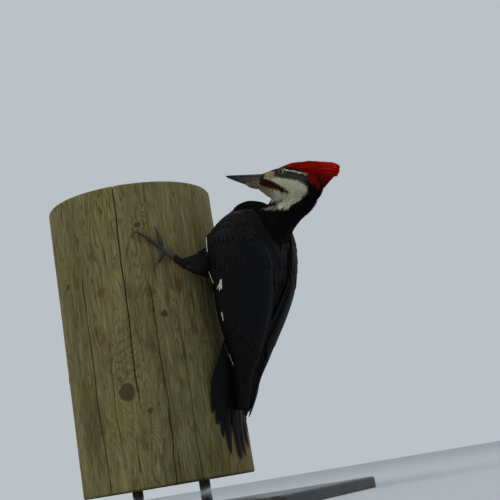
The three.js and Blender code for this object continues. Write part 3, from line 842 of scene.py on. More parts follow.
def plumage_material(name, sheen, roughness, barbs):
    """Feathers: the mesh's own tint, broken by fine barbs, with a soft gloss."""
    m = Nodes(name)
    patch = m.noise(m.position(), 90, 3)
    fine = m.noise(m.position(), 900, 2)
    across, along, _ = m.parts(m.node("ShaderNodeUVMap", uv_map="Vane").outputs[0])
    slant = m.add(m.times(m.off(across, 0.5), 1.6), along)
    line = m.math("SINE", m.times(slant, barbs))
    shade = m.times(m.remap(patch, 0.3, 0.7, 0.8, 1.18), m.remap(fine, 0.3, 0.7, 0.85, 1.12))
    m.tinted(m.times(shade, m.remap(line, -1, 1, 0.88, 1.08)))
    m.set(Roughness=m.remap(fine, 0.3, 0.7, roughness - 0.06, roughness + 0.08), Specular_IOR_Level=sheen)
    m.set(Normal=m.bump(line, 0.25, 0.00012, m.bump(fine, 0.2, 0.0001)))
    return m.material


class WingTree:
    """Finds where on a folded wing a point lies."""

    def __init__(self, side):
        self.s, self.v = np.meshgrid(np.linspace(0, 1, 90), np.linspace(0, 1, 60), indexing="ij")
        grid = on_wing(side, self.s, self.v, 0.0).reshape(-1, 3)
        self.tree = KDTree(len(grid))
        for i, point in enumerate(grid):
            self.tree.insert(point, i)
        self.tree.balance()
        self.s, self.v = self.s.ravel(), self.v.ravel()

    def find(self, points):
        found = [self.tree.find(p) for p in points]
        index = np.array([i for _, i, _ in found])
        return self.s[index], self.v[index], np.array([far for _, _, far in found])


def near_leg(points):
    """How far each point is from the line of the nearer leg, and how far down that leg it lies."""
    best, down = np.full(len(points), 99.0), np.zeros(len(points))
    for leg in LEGS.values():
        t, far = beside_leg(leg, points)
        closer = far < best
        best, down = np.where(closer, far, best), np.where(closer, t, down)
    return best, down


def is_covered(points):
    """Which points lie under the folded wings, in the eyes' openings or on the bill."""
    covered = np.zeros(len(points), bool)
    for side in SIDES.values():
        s, v, far = WingTree(side).find(points)
        covered |= (far < 4.5) & (s > 0.2) & (v > 0.12) & (v < 0.985)
    forward, left, up = head_coordinates(points)
    for sign in (1, -1):
        off = (forward - EYE_AT[0]) ** 2 + (left - sign * EYE_AT[1]) ** 2 + (up - EYE_AT[2]) ** 2
        covered |= np.sqrt(off) < 6.1
    return covered | (forward > 25.5) & (up > -13)


def body_coat(surface):
    """The small feathers all over the head, neck, body and legs, in pieces of under 200,000 triangles."""
    draw = np.random.default_rng(11)
    gap_at = lambda length: np.interp(length, *COAT_GAPS)
    points, normals = surface.sample(draw, 210000, lambda p: 1 / gap_at(along_spine(p)[0]) ** 2)
    length, bare = along_spine(points)[0], ~is_covered(points)
    points, normals, length = points[bare], normals[bare], length[bare]
    leg_far, down = near_leg(points)
    on_leg = (leg_far < 20) & (down > 0.15)
    kept = thin_out(points, np.where(on_leg, 1.5, gap_at(length)))
    points, normals, length, on_leg = (a[kept] for a in (points, normals, length, on_leg))
    forward, _, up = head_coordinates(points)
    nape = smoothstep(-forward, 30, 42) * smoothstep(-up, 8, 15) * (1 - smoothstep(-up, 30, 52))
    cheek = smoothstep(-forward, -8, 20) * smoothstep(-up, 12, 20)
    stations, *sizes = np.array(COAT_SIZES).T
    long, wide, lift = (np.interp(length, stations, values) for values in sizes)
    long = np.where(on_leg, 8.5, long + 4.5 * nape + 1.0 * cheek)
    wide = np.where(on_leg, 1.1, wide)
    lift = np.where(on_leg, 1.8, lift + 2.2 * nape + 0.4 * cheek)
    zones = {f"coat_{name}": (length >= low) & (length < high) & ~on_leg for name, low, high in COAT_ZONES}
    zones["coat_thighs"] = on_leg
    made = []
    for name, zone in zones.items():
        p, n = points[zone], normals[zone]
        tone = markings(p + lie_of_coat(p, n) * (0.62 * long[zone])[:, None])
        raised = lift[zone] * draw.uniform(0.7, 1.25, len(p))
        vanes = name == "coat_body"
        made.append(coat(name, surface, p, n, long[zone], wide[zone], raised, tone, draw, vanes))
    return made


# ---- tufts on the shins, bill and crest
# How far from the tarsus's middle line its tufts lie, at each share of its length.
SHIN_SIZES = ([0, 0.2, 0.35, 0.75], [4.9, 4.8, 4.0, 3.2])
# Half-width and half-height of the bill's base, forward of the brow.
BILL_BASE = ([8, 14, 20, 27, 34], [12.4, 10.6, 8.9, 7.3, 6.3], [12.5, 10.5, 8.2, 6.4, 5.2])
CREST_ROWS = 6
# The crest's back edge at each height, forward of the brow.
CREST_BACK = (
    [-40, -34, -26, -17, -13, -8.4, -2, 3, 8, 11.5, 15.9, 16.9],
    [-41.0, -45.5, -50.6, -53.2, -56.5, -59.2, -62, -66, -69.9, -70.2, -66, -54],
)
# How much higher than its tip a feather starts there, for every 15 mm of its length.
CREST_SLOPE = ([-39, -30, -17, 0, 16], [9, 7, 5, 1.5, -2.5])
# The crest's half-width at each place behind the brow.
CREST_WIDTH = ([32, 47, 58, 66, 70], [13, 10, 6, 3, 1])


def tufts(name, centre, normal, half, thick, tone, roots):
    """Fine feathers along the lines in centre, of shape (number, rows, 3), as one joined piece.

    normal points off the skin, half is the half-width at each row, and tone has one colour for each
    feather or for each of its rows.
    """
    heading = unit(np.gradient(centre, axis=1))
    normal = unit(normal - (normal * heading).sum(-1, keepdims=True) * heading)
    side = np.cross(normal, heading)
    across = side * half[..., None]
    obj = lofts(name, np.stack([centre + across * a + normal * (thick * b) for a, b in TUFT_SECTION], 2))
    number, rows = half.shape
    set_colours(obj, np.broadcast_to(tone, (number, rows, len(TUFT_SECTION), 3)))
    map_feathers(obj, TUFT_SECTION, rows, roots)
    return obj


def shin_tufts():
    """Fine feathers that run from each thigh down the upper half of the tarsus."""
    draw = np.random.default_rng(61)
    n, rows = 1100, 5
    t = np.linspace(0, 1, rows)[None]
    lines = []
    for leg, corner in zip(LEGS.values(), (0.0, 0.5)):
        start = draw.uniform(0.0, 0.50, n)
        along = start[:, None] + draw.uniform(0.14, 0.24, n)[:, None] * t
        line = catmull(leg.tarsus, along.ravel()).reshape(n, rows, 3)
        axis = unit(leg.ankle - leg.heel)
        dorsal = unit(leg.outward - (leg.outward @ axis) * axis)
        angle = draw.uniform(-165, 165, n)
        around = np.radians(angle[:, None] + draw.normal(0, 6, (n, 1)) * t)[..., None]
        out = dorsal * np.cos(around) + np.cross(axis, dorsal) * np.sin(around)
        size = np.interp(along, *SHIN_SIZES) + draw.uniform(0.2, 1.2, (n, 1)) * t
        root = np.stack([0.02 + 0.96 * (angle + 165) / 330, start + corner], -1)
        lines.append((line + out * size[..., None], out, root))
    centre, out, roots = (np.concatenate(values) for values in zip(*lines))
    half = draw.uniform(0.3, 0.5, 2 * n)[:, None] * np.array([0.7, 1, 0.85, 0.5, 0.08])
    tone = np.array([0.017, 0.017, 0.0145]) * draw.uniform(0.55, 1.3, (2 * n, 1, 1, 1))
    return tufts("coat_shins", centre, out, half, 0.08, tone, roots)


def nasal_tufts():
    """Bristly feathers that lie forward over the nostrils and the base of the bill."""
    draw = np.random.default_rng(51)
    n, rows = 900, 5
    sign = np.where(np.arange(n) % 2 == 0, 1.0, -1.0)
    u0 = draw.uniform(-12.5, -2.0, n)
    f0 = draw.uniform(6.0, 14.0, n)
    long = draw.uniform(4.0, 6.8, n)
    t = np.linspace(0, 1, rows)[None]
    forward = f0[:, None] + long[:, None] * t
    up = u0[:, None] + (-8.0 - u0[:, None]) * 0.45 * t + draw.normal(0, 0.5, (n, 1)) * t
    wide, tall = (np.interp(forward, BILL_BASE[0], sizes) for sizes in BILL_BASE[1:])
    offset = np.clip((up - TOMIUM) / tall, -0.98, 0.98)
    left = wide * (1 - np.abs(offset) ** 2) ** 0.5 + (0.2 + 0.5 * np.sin(np.pi * t))
    centre = in_head(forward, sign[:, None] * left, up)
    normal = unit(np.broadcast_to(HEAD_LEFT, centre.shape) * sign[:, None, None] + HEAD_UP * 0.4)
    half = draw.uniform(0.16, 0.32, n)[:, None] * np.array([0.8, 1, 0.8, 0.5, 0.08])
    dark = draw.uniform(0, 1, n) < 0.16
    tone = np.where(dark[:, None], np.array([0.07, 0.045, 0.02]), BUFF) * draw.uniform(0.7, 1.25, (n, 1))
    place_forward = 0.05 + 0.4 * (f0 - 6.0) / 8 + np.where(sign > 0, 0, 0.5)
    roots = np.stack([place_forward, 0.05 + 0.9 * (u0 + 12.5) / 10.5], -1)
    return tufts("nasal_tufts", centre, normal, half, 0.12, tone[:, None, None], roots)


def chin_tufts():
    """Fine feathers on the underside of the lower mandible, which end in a point towards the bill's tip."""
    draw = np.random.default_rng(53)
    n, rows = 1500, 4
    start = draw.uniform(0.10, 0.44, n)
    turn = -90 + draw.normal(0, 1, n) * np.interp(start, [0.1, 0.44], [34, 12])
    turn = np.clip(turn, -152, -28)
    t = np.linspace(0, 1, rows)[None]
    shift = draw.uniform(4.0, 6.5, n)[:, None] * t / 52.4
    lift = 0.15 + draw.uniform(0.3, 1.3, (n, 1)) * t
    spread = turn[:, None] + draw.normal(0, 5, (n, 1)) * t
    centre = on_head(LOWER_BILL, start[:, None] - shift, spread, lift)
    normal = unit(on_head(LOWER_BILL, start[:, None] - shift, spread, lift + 1) - centre)
    centre = centre - HEAD_UP * (0.6 * t**2)[..., None]
    half = draw.uniform(0.2, 0.38, n)[:, None] * TUFT_OUTLINE
    # painted shade: the chin's white tufts are dimmed to about a third and tinted buff
    tone = lerp(0.34 * WHITE, 0.55 * BUFF, draw.uniform(0.1, 0.8, (n, 1))) * draw.uniform(0.75, 1.15, (n, 1))
    roots = np.stack([0.02 + 0.96 * (turn + 168) / 156, 0.02 + 0.94 * (start - 0.1) / 0.34], -1)
    return tufts("chin_tufts", centre, normal, half, 0.08, tone[:, None, None], roots)


def crown_feathers(draw):
    """Lines, normals and map places of the feathers that lie along the crest, in overlapping layers."""
    number, rows = 6800, CREST_ROWS
    turn = draw.uniform(-100, 280, number)
    depth = draw.uniform(0, 1, number) ** 1.5
    start = draw.uniform(0.0, 0.93, number)
    keep = ~((start < 0.42) & ((turn < -10) | (turn > 190)))
    turn, depth, start = turn[keep], depth[keep], start[keep]
    number = len(turn)
    long = lerp(0.16, 0.30, draw.uniform(0, 1, number)) * lerp(0.65, 1, smoothstep(start, 0, 0.3))
    t = np.linspace(0, 1, rows)[None]
    along = start[:, None] + long[:, None] * t
    end = draw.uniform(0.82, 0.93, (number, 1))
    over = np.maximum(along - end, 0)
    along = np.minimum(along, end)
    sink = -lerp(2.6, 0.5, t) - 1.7 * depth[:, None] + 0.3 * draw.normal(0, 1, (number, 1)) * t
    wander = turn[:, None] + draw.normal(0, 5, (number, 1)) * t
    centre = on_head(CREST, along, wander, sink)
    normal = unit(on_head(CREST, along, wander, sink + 1) - centre)
    return centre - HEAD_FORWARD * (over * 12)[..., None], normal, turn, start


def fringe_feathers(draw):
    """Lines and normals of the hindmost ones, which end along the crest's ragged back edge."""
    number = 2900
    up = draw.uniform(-39, 16.5, number)
    end = np.interp(up, *CREST_BACK) + 5.0 * draw.uniform(0, 1, number) ** 1.6 - 0.6
    reach = draw.uniform(9, 19, number)
    from_f = end + reach
    from_u = up + np.interp(up, *CREST_SLOPE) * reach / 15
    wide = np.interp(-from_f, *CREST_WIDTH) * np.sqrt(np.clip(1 - (from_u / 21) ** 2, 0.1, 1))
    left = draw.uniform(-1, 1, number) * 0.9 * wide
    t = np.linspace(0, 1, CREST_ROWS)[None]
    sideways = left[:, None] * (1 - 0.75 * t**1.3) + 0.5 * draw.normal(0, 1, (number, 1)) * t
    forward = from_f[:, None] + (end - from_f)[:, None] * t
    centre = in_head(forward, sideways, from_u[:, None] + (up - from_u)[:, None] * t**1.4)
    return centre, np.sign(left)[:, None, None] * HEAD_LEFT + 0 * centre


def crest_feathers():
    """Long narrow feathers that sweep back over the crown to the crest's point, a piece for each side."""
    draw = np.random.default_rng(41)
    crown, crown_out, turn, start = crown_feathers(draw)
    fringe, fringe_out = fringe_feathers(draw)
    turn = np.concatenate([turn, draw.uniform(-100, 280, len(fringe))])
    start = np.concatenate([start, draw.uniform(0, 0.93, len(fringe))])
    centre, normal = np.concatenate([crown, fringe]), np.concatenate([crown_out, fringe_out])
    number = len(centre)
    half = draw.uniform(0.35, 0.75, number)[:, None] * np.array([0.6, 1, 1, 0.85, 0.55, 0.08])
    forward, left, up = head_coordinates(centre)
    # painted shade: the red darkens from the crest's top down to its lower feathers
    tone = lerp(CREST_SHADED, CREST_RED, smoothstep(up, -12, 12)[..., None])
    tone = lerp(tone, CREST_BRIGHT, (smoothstep(-forward, 45, 70) * 0.35)[..., None])
    tone = lerp(BROW_RED, tone, smoothstep(-forward, -8, 6)[..., None])
    tone = tone * draw.uniform(0.75, 1.15, (number, 1, 1))
    dark = smoothstep(-up[:, -1:], 15.5, 18.5) * smoothstep(-forward[:, -1:], 40, 46)
    tone = lerp(tone, BLACK, dark[..., None])[:, :, None]
    roots = np.stack([0.02 + 0.96 * (turn + 100) / 380, 0.02 + 0.96 * start], -1)
    return [
        tufts("crest_feathers_" + name, centre[on], normal[on], half[on], 0.10, tone[on], roots[on])
        for name, on in (("left", left[:, 0] >= 0), ("right", left[:, 0] < 0))
    ]


# ---- long feathers
def long_section(across):
    """A vane's ring of points: over its upper face and back under it."""
    c = np.linspace(1, -1, across)
    upper = np.stack([c, 0.25 + 0.35 * (1 - np.abs(c)) + 0.9 * np.exp(-((c / 0.09) ** 2))], -1)
    c = np.linspace(-1, 1, across)
    lower = np.stack([c, -0.25 - 0.35 * (1 - np.abs(c)) - 0.5 * np.exp(-((c / 0.09) ** 2))], -1)
    return np.concatenate([upper, lower])


def vane_outline(t, point, draw, wear=0.05):
    """Half-width along a long feather, a little worn towards its tip."""
    full = np.minimum(0.45 + 3.5 * t, 1) * np.minimum(1, np.maximum((1 - t) / point, 0) ** 0.55 + 0.06)
    return full * (1 - wear * draw.uniform(0, 1, len(t)) * smoothstep(t, 0.4, 1))


def black_tone(shade, t, paler, low):
    """Black along a feather, paler towards its worn tip."""
    return BLACK[None] * shade * (1 + paler * smoothstep(t, low, 1))[:, None]


def long_feathers(name, paths, across, columns):
    """A piece of long feathers, in columns on the bake map.

    Each path is a function of t, across and up, with the half-widths, the thickness and the colours.
    """
    section = long_section(across)
    sides = len(section)
    c = section[None, :, 0]
    under = np.where(np.arange(sides) >= sides // 2, 0.5, 0.0)[None]
    row_high = 1 / math.ceil(len(paths) / columns)
    grids, tints, maps, vanes = [], [], [], []
    for i, (spot, outline, thick, tint) in enumerate(paths):
        rows = len(outline)
        t = np.linspace(0, 1, rows)[:, None]
        grids.append(spot(t, c * outline[:, None], section[None, :, 1] * thick))
        tints.append(np.broadcast_to(tint[:, None, :], (rows, sides, 3)))
        u = (i % columns + 0.05 + 0.4 * (c * 0.5 + 0.5) + under) / columns
        maps.append(np.stack(np.broadcast_arrays(u, (i // columns + 0.03 + 0.94 * t) * row_high), -1))
        vanes.append(np.stack(np.broadcast_arrays(c * 0.5 + 0.5, t), -1))
    obj = lofts(name, np.stack(grids))
    set_colours(obj, np.stack(tints))
    set_map(obj, "OFBake", np.stack(maps))
    set_map(obj, "Vane", np.stack(vanes))
    return obj


def wing_chord(side):
    """The width of a folded wing's outer face as a function of s, at least 8 mm."""
    stations = np.linspace(0, 1, 200)
    grid = on_wing(side, stations[:, None], np.linspace(0, 1, 13)[None], 0.0)
    chord = np.linalg.norm(np.diff(grid, axis=1), axis=2).sum(1)
    return lambda s: np.maximum(np.interp(s, stations, chord), 8.0)


WING_CHORD = {side: wing_chord(side) for side in SIDES.values()}
FLIGHT_ROWS = 34
COVERT_ROWS = 14
# Rows of coverts, the greater ones first: number, from and to s, half-width, lift at root and tip.
COVERTS = (
    (14, 0.13, 0.40, 6.2, -1.4, 0.0),
    (14, 0.08, 0.28, 5.4, -1.3, 0.2),
    (15, 0.04, 0.195, 4.6, -1.5, 0.3),
    (15, 0.01, 0.14, 4.0, -1.9, 0.3),
    (15, -0.01, 0.09, 3.6, -2.6, 0.2),
)
# The little white that shows on a folded wing: from and to (s, v), half-width and brightness.
WING_WHITE = [
    ((0.215, 0.125), (0.30, 0.15), 1.2, 0.8),
    ((0.315, 0.085), (0.35, 0.09), 1.0, 0.8),
    ((0.385, 0.075), (0.448, 0.165), 0.9, 0.8),
    ((0.436, 0.335), (0.478, 0.225), 1.4, 0.7),
    ((0.434, 0.325), (0.484, 0.270), 1.9, 0.8),
    ((0.436, 0.315), (0.478, 0.312), 1.4, 0.7),
    ((0.572, 0.245), (0.606, 0.245), 1.3, 0.7),
    ((0.487, 0.110), (0.580, 0.095), 0.45, 0.085),
    ((0.570, 0.100), (0.680, -0.045), 0.45, 0.085),
    ((0.668, -0.035), (0.740, -0.070), 0.45, 0.10),
    ((0.735, -0.03), (0.778, 0.04), 1.4, 0.4),
]
# Rows of feathers round the tail's base: root and tip on the trunk's line, and half-width.
TAIL_COVERTS = (
    (0.46, 0.27, 6.0),
    (0.38, 0.19, 6.0),
    (0.30, 0.115, 5.6),
    (0.225, 0.05, 5.2),
    (0.16, 0.012, 4.6),
)


def wing_feather(side, draw, store, start, end, half, lift, rows, point, bend, thick, colour=BLACK):
    """Adds to store a feather that lies on a folded wing from start to end, which are both (s, v).

    lift has two values, at the root and at the tip.
    """
    (s0, v0), (s1, v1) = start, end
    t = np.linspace(0, 1, rows)
    outline = vane_outline(t, point, draw) * half
    shade = draw.uniform(0.85, 1.15)

    def spot(t, across, up):
        s = lerp(s0, s1, t)
        v = lerp(v0, v1, t**bend) + across / WING_CHORD[side](s)
        droop = -0.5 * (across / half) ** 2 * (half / 8)
        return on_wing(side, s, v, lerp(*lift, t) + up + droop)

    store.append((spot, outline, thick, colour[None] * shade * (1 + 0.5 * smoothstep(t, 0.8, 1))[:, None]))


def primaries(side, draw, number=10):
    """The outer flight feathers, whose tips step out past the wing's lower edge."""
    paths = []
    t = np.linspace(0, 1, FLIGHT_ROWS)
    for j in range(number):
        i = j / (number - 1)
        outline = vane_outline(t, 0.22, draw, 0.10) * lerp(6.6, 7.4, i)

        def spot(t, across, up, i=i, tip=PRIMARY_TIPS(i)):
            over = lerp(0.42, tip[0], t)
            turn = lerp(-18 + 16 * i, tip[1], t**1.4)
            width = on_body(TRUNK, over, 0.0, 6) - on_body(TRUNK, over, 180.0, 6)
            radius = np.maximum(np.linalg.norm(width, axis=-1) / 2, 8.0)
            turn = turn - np.degrees(across / radius)
            return over_body(side, over, turn, SEAT + lerp(2.5, tip[2], t) + 0.2 * i + up)

        paths.append((spot, outline, 0.45, black_tone(draw.uniform(0.9, 1.2), t, 1.2, 0.85)))
    return paths


def wing_feathers(side, name):
    """Flight feathers and the rows of coverts over them, laid from the leading edge to the back."""
    draw = np.random.default_rng(21 + side)
    paths, small = primaries(side, draw), []

    def flight(start, end, half, lift, point, bend):
        wing_feather(side, draw, paths, start, end, half, lift, FLIGHT_ROWS, point, bend, 0.4)

    def covert(start, end, half, lift, point=0.4, thick=0.25, colour=BLACK):
        wing_feather(side, draw, small, start, end, half, lift, COVERT_ROWS, point, 1.0, thick, colour)

    # the inner primaries, which close the wing down to its tip
    for j in range(9):
        i = j / 8
        start, end = (0.26, lerp(0.02, 0.62, i)), (lerp(1.02, 0.78, i), lerp(0.45, 0.80, i))
        flight(start, end, 6.6, (-2.2 + 0.25 * i, -0.9 + 0.5 * i), 0.2, 1.3)
    # and a few past its back edge, which close the gap over the rump
    for j in range(4):
        flight((0.40, 0.80 + 0.05 * j), (0.99 - 0.035 * j, 0.86 + 0.09 * j), 5.0, (-2.4, -1.6), 0.25, 1.2)
    # secondaries and tertials, each over the one nearer the leading edge
    for j in range(12):
        i = j / 11
        end = (lerp(0.60, 0.74, i) + 0.014 * (-1) ** j, lerp(0.30, 0.90, i))
        lift = (-1.4 + 0.3 * i, -0.4 + 0.5 * i)
        flight((0.16, lerp(0.06, 0.88, i)), end, lerp(8.0, 7.0, i), lift, 0.12, 1.2)
    for number, s0, s1, half, low, high in COVERTS:
        for j in range(number):
            v = lerp(0.0, 0.98, (j + draw.uniform(-0.15, 0.15)) / (number - 1))
            shift = draw.uniform(-0.008, 0.008)
            end = (s1 + shift + draw.uniform(-0.006, 0.006), lerp(v, 0.5, 0.04))
            covert((max(s0 + shift, 0), v), end, half, (low + 0.02 * j, high + 0.02 * j))
    # scapulars, which lie over the wing's upper edge and down on to the back
    for row in range(8):
        for j in range(6):
            v = lerp(0.74, 1.22, (j + draw.uniform(-0.2, 0.2) + 0.5 * (row % 2)) / 5.5)
            sink = -4.4 * smoothstep(v, 0.86, 1.12) + 0.5
            s = 0.045 * row + draw.uniform(-0.01, 0.01)
            covert((max(s, 0), v), (s + 0.135, v - 0.01), 5.2, (sink - 1.6, float(sink)))
    # the carpal edge
    for j in range(6):
        v = lerp(-0.02, 0.16, j / 5)
        covert((0.28 + 0.01 * j, v), (0.50 - 0.012 * j, v + 0.05), 4.6, (-0.7, 0.1 + 0.05 * j), 0.3, 0.3)
    for start, end, half, bright in WING_WHITE:
        covert(start, end, half, (0.5, 0.7), 0.35 if half > 1.3 else 0.8, 0.35, bright * WHITE)
    return (
        long_feathers("wing_flight_" + name, paths, 7, 11),
        long_feathers("wing_coverts_" + name, small, 5, 9),
    )


def tail_feathers():
    """Ten stiff feathers with strong shafts and worn points."""
    draw = np.random.default_rng(31)
    t = np.linspace(0, 1, 60)
    paths = []
    for side in (-1, 1):
        for i, (tip_side, tip_up, half) in enumerate(RECTRICES):
            outline = vane_outline(t, 0.42, draw, 0.07) * half
            for _ in range(2):
                outline[int(draw.integers(38, 56))] *= 0.8

            def spot(t, across, up, side=side, i=i, tip_side=tip_side, tip_up=tip_up, half=half):
                centre = side * lerp(3 + 2.4 * i, tip_side, t**0.7) + TAIL_MIDDLE * t
                high = lerp(TAIL_TOP, tip_up + (4 if side > 0 else 0), t)
                sweep = high + 0.55 * np.abs(across) * smoothstep(t, 0.3, 1)
                crease = 0.35 * (np.abs(across) / half) ** 1.5
                return on_tail(centre + across, sweep, -0.9 * i + up - crease)

            paths.append((spot, outline, 0.5, black_tone(draw.uniform(0.85, 1.25), t, 1.6, 0.82)))
    return long_feathers("tail_feathers", paths, 9, 10)


def tail_coverts():
    """Rows of longer feathers round the rump that close over the tail's base."""
    draw = np.random.default_rng(33)
    number, t = 15, np.linspace(0, 1, 16)
    paths = []
    for row, (root, tip, half) in enumerate(TAIL_COVERTS):
        for j in range(number):
            turn = (j + 0.5 * (row % 2) + draw.uniform(-0.15, 0.15)) * 360 / number
            outline = vane_outline(t, 0.5, draw) * half

            def spot(t, across, up, root=root, tip=tip, turn=turn, half=half):
                over = lerp(root, tip + 0.02, t)
                at = TRUNK(over)
                radius = np.maximum((at[..., 3] + at[..., 4]) / 2, 6.0)
                lift = lerp(-2.6, 0.3, t) + up - 0.5 * (across / half) ** 2
                return on_body(TRUNK, over, turn + np.degrees(across / radius), lift)

            paths.append((spot, outline, 0.25, black_tone(draw.uniform(0.85, 1.2), t, 0.5, 0.8)))
    return long_feathers("tail_coverts", paths, 5, 15)


# ---- bill and eyes
PUPIL = 25.5  # degrees from the eye's middle to the pupil's edge
IRIS = np.array([0.52, 0.44, 0.19])
IRIS_RIM = np.array([0.10, 0.07, 0.03])
# painted shade: the eyeball's edge darkens where the lids cover it
LID_SHADOW = np.array([0.012, 0.011, 0.010])


def mandible(name, line, sign, tint_root, tint_tip):
    """One half of the bill, with its keel and a ridge along its side, down to a chisel tip."""
    rows, sides, gape = 90, 48, sign * 0.16
    t = np.linspace(0, 1, rows)[:, None]
    turn = np.linspace(0, 180, sides // 2 + 1)[None] * sign
    c = np.cos(np.radians(turn))
    ridge = np.exp(-(((np.abs(c) - 0.86) / 0.07) ** 2)) * (1 - smoothstep(t, 0.45, 0.8)) * 0.35
    keel = np.exp(-((c / 0.16) ** 2)) * 0.22 * (1 - smoothstep(t, 0.9, 1))
    grow = 1 + ((ridge if sign > 0 else 0 * t) + keel) / 8
    forward, left, up = head_coordinates(on_head(line, t, turn, 0.0))
    left, up = left * grow, TOMIUM + (up - TOMIUM) * grow + gape
    inward = np.stack([forward, left * 0.93, TOMIUM + gape + 0 * up], -1)[:, ::-1]
    ring = np.concatenate([np.stack([forward, left, up], -1), inward[:, 1:-1]], 1)
    obj = lofts(name, in_head(ring[..., 0], ring[..., 1], ring[..., 2])[None])
    share = smoothstep(ring[..., 0], 20, 62)[..., None]
    set_colours(obj, lerp(np.array(tint_root), np.array(tint_tip), share))
    return obj


def bill_material():
    """Slate horn: long growth streaks, blotches, and fine scratches in its gloss."""
    m = Nodes("bill_horn")
    where = m.node("ShaderNodeTexCoord").outputs["Object"]
    along_bill = (0, math.radians(HEAD_PITCH), -math.radians(HEAD_YAW))
    turning = {"Vector": where, "Rotation": along_bill, "Scale": (1, 1, 1)}
    turned = m.node("ShaderNodeMapping", turning).outputs[0]
    drawn_out = m.node("ShaderNodeMapping", {"Vector": turned, "Scale": (0.08, 1, 1)}).outputs[0]
    streak = m.noise(drawn_out, 1500, 4, 0.6)
    blot = m.noise(where, 160, 3)
    scratch = m.noise(drawn_out, 6000, 2)
    m.tinted(m.times(m.remap(streak, 0.3, 0.7, 0.72, 1.3), m.remap(blot, 0.3, 0.7, 0.8, 1.2)))
    m.set(Roughness=m.remap(scratch, 0.3, 0.7, 0.34, 0.52), Specular_IOR_Level=0.28)
    m.set(Normal=m.bump(streak, 0.25, 0.0002, m.bump(scratch, 0.2, 0.00006)))
    return m.material


def eye(name, sign):
    """An eyeball with a bulging cornea: dark pupil, pale yellow iris and dark rim, and painted shade under
    the lids round its edge, drawn by rings.
    """
    sides = 64
    axis = unit(np.array([0.34, sign * 1.0, 0.06]))
    forward = unit(np.array([1.0, 0, 0]) - axis[0] * axis)
    up = np.cross(axis, forward)
    angle = np.radians(np.concatenate([np.linspace(1, 50, 50), np.linspace(55, 179, 20)]))[:, None]
    turn = (np.arange(sides) / sides * 2 * math.pi)[None]
    radius = (EYE_RADIUS - 0.08) + 0.22 * np.exp(-((np.degrees(angle) / 34) ** 2))
    around = forward * np.cos(turn)[..., None] + up * np.sin(turn)[..., None]
    direction = axis * np.cos(angle)[..., None] + around * np.sin(angle)[..., None]
    spot = np.array([EYE_AT[0], sign * EYE_AT[1], EYE_AT[2]]) + direction * radius[..., None]
    obj = lofts(name, in_head(spot[..., 0], spot[..., 1], spot[..., 2])[None])
    degrees = np.repeat(np.degrees(angle), sides, 1)[..., None]
    tone = np.where(degrees < PUPIL, np.array([0.002, 0.002, 0.002]), IRIS)
    tone = tone + (IRIS_RIM - tone) * smoothstep(degrees, 36, 42)
    # painted shade under the lids, beyond the iris's rim
    tone = tone + (LID_SHADOW - tone) * smoothstep(degrees, 44, 50)
    set_colours(obj, tone)
    return obj


def eye_material():
    """A wet eye: small flecks in the mesh's own tint, under a clear coat."""
    m = Nodes("eye_wet")
    fleck = m.noise(m.position(), 2600, 3)
    m.tinted(m.remap(fleck, 0.3, 0.7, 0.7, 1.25))
    m.set(Roughness=m.remap(fleck, 0.2, 0.8, 0.05, 0.09), Specular_IOR_Level=0.15)
    m.set(Coat_Weight=0.12, Coat_Roughness=0.02, Normal=m.bump(fleck, 0.03, 0.00003))
    return m.material


def eyelids(name, sign):
    """The bare rims of the lids, drawn to a point before and behind the eye."""
    rings, sides = 96, 14
    wide, above, below = 3.95, 3.1, 3.3
    t = (np.arange(rings) / rings * 2 * math.pi)[:, None]
    turn = (np.arange(sides) / sides * 2 * math.pi)[None]
    c, s = np.cos(t), np.sin(t)
    forward = EYE_AT[0] + 0.3 + c * wide * (1 + 0.10 * c**8)
    up = EYE_AT[2] + s * np.where(s > 0, above, below)
    away = np.sqrt((forward - EYE_AT[0]) ** 2 + (up - EYE_AT[2]) ** 2)
    out = EYE_AT[1] + np.sqrt(np.maximum(EYE_RADIUS**2 - np.minimum(away, 4.2) ** 2, 0)) + 0.10
    thick = 0.62 * (1 + 0.12 * np.sin(t * 19))
    forward = forward + c * np.cos(turn) * thick
    up = up + s * np.cos(turn) * thick
    left = sign * (out + np.sin(turn) * thick * 0.8 - 0.45 * np.cos(turn))
    return new_object(name, in_head(forward, left, up).reshape(-1, 3), closed_band(rings, sides))


def bare_skin_material(name, base, scale):
    """Dark horny skin with fine scales, paler where they catch wear."""
    m = Nodes(name)
    where = m.position()
    values = {"Vector": where, "Scale": scale}
    cells = m.node("ShaderNodeTexVoronoi", values, feature="DISTANCE_TO_EDGE")
    plate = m.remap(cells.outputs[0], 0.0, 0.12, 0.0, 1.0)
    blot = m.noise(where, 260, 3)
    dark = tuple(0.35 * c for c in base)
    pale = tuple(min(1.0, 2.4 * c) for c in base)
    tone = m.mix(plate, dark, m.mix(m.remap(blot, 0.3, 0.7, 0.0, 1.0), base, pale))
    m.set(Base_Color=tone, Roughness=m.remap(blot, 0.3, 0.7, 0.45, 0.68), Specular_IOR_Level=0.45)
    m.set(Normal=m.bump(plate, 0.5, 0.00015, m.bump(blot, 0.3, 0.0002)))
    return m.material


# ---- feet
# Shares of a toe's and of a claw's thickness, from root to tip.
TOE_THICKNESS = (1.15, 0.90, 0.98, 0.86, 0.62)
CLAW_THICKNESS = (0.62, 0.68, 0.5, 0.12)


def scutes(number, high):
    """Overlapping horny plates along the top of a toe and soft pads beneath."""

    def shape(s, turn):
        saw = (s * number) % 1.0
        top = smoothstep(np.cos(turn), -0.25, 0.35)
        pads = 0.07 * np.abs(np.sin(s * number * 0.5 * math.pi)) * smoothstep(-np.cos(turn), 0.2, 0.8)
        return 1 + high * (saw - 0.5) * top + pads + 0.03 * np.sin(3 * turn) * top

    return shape


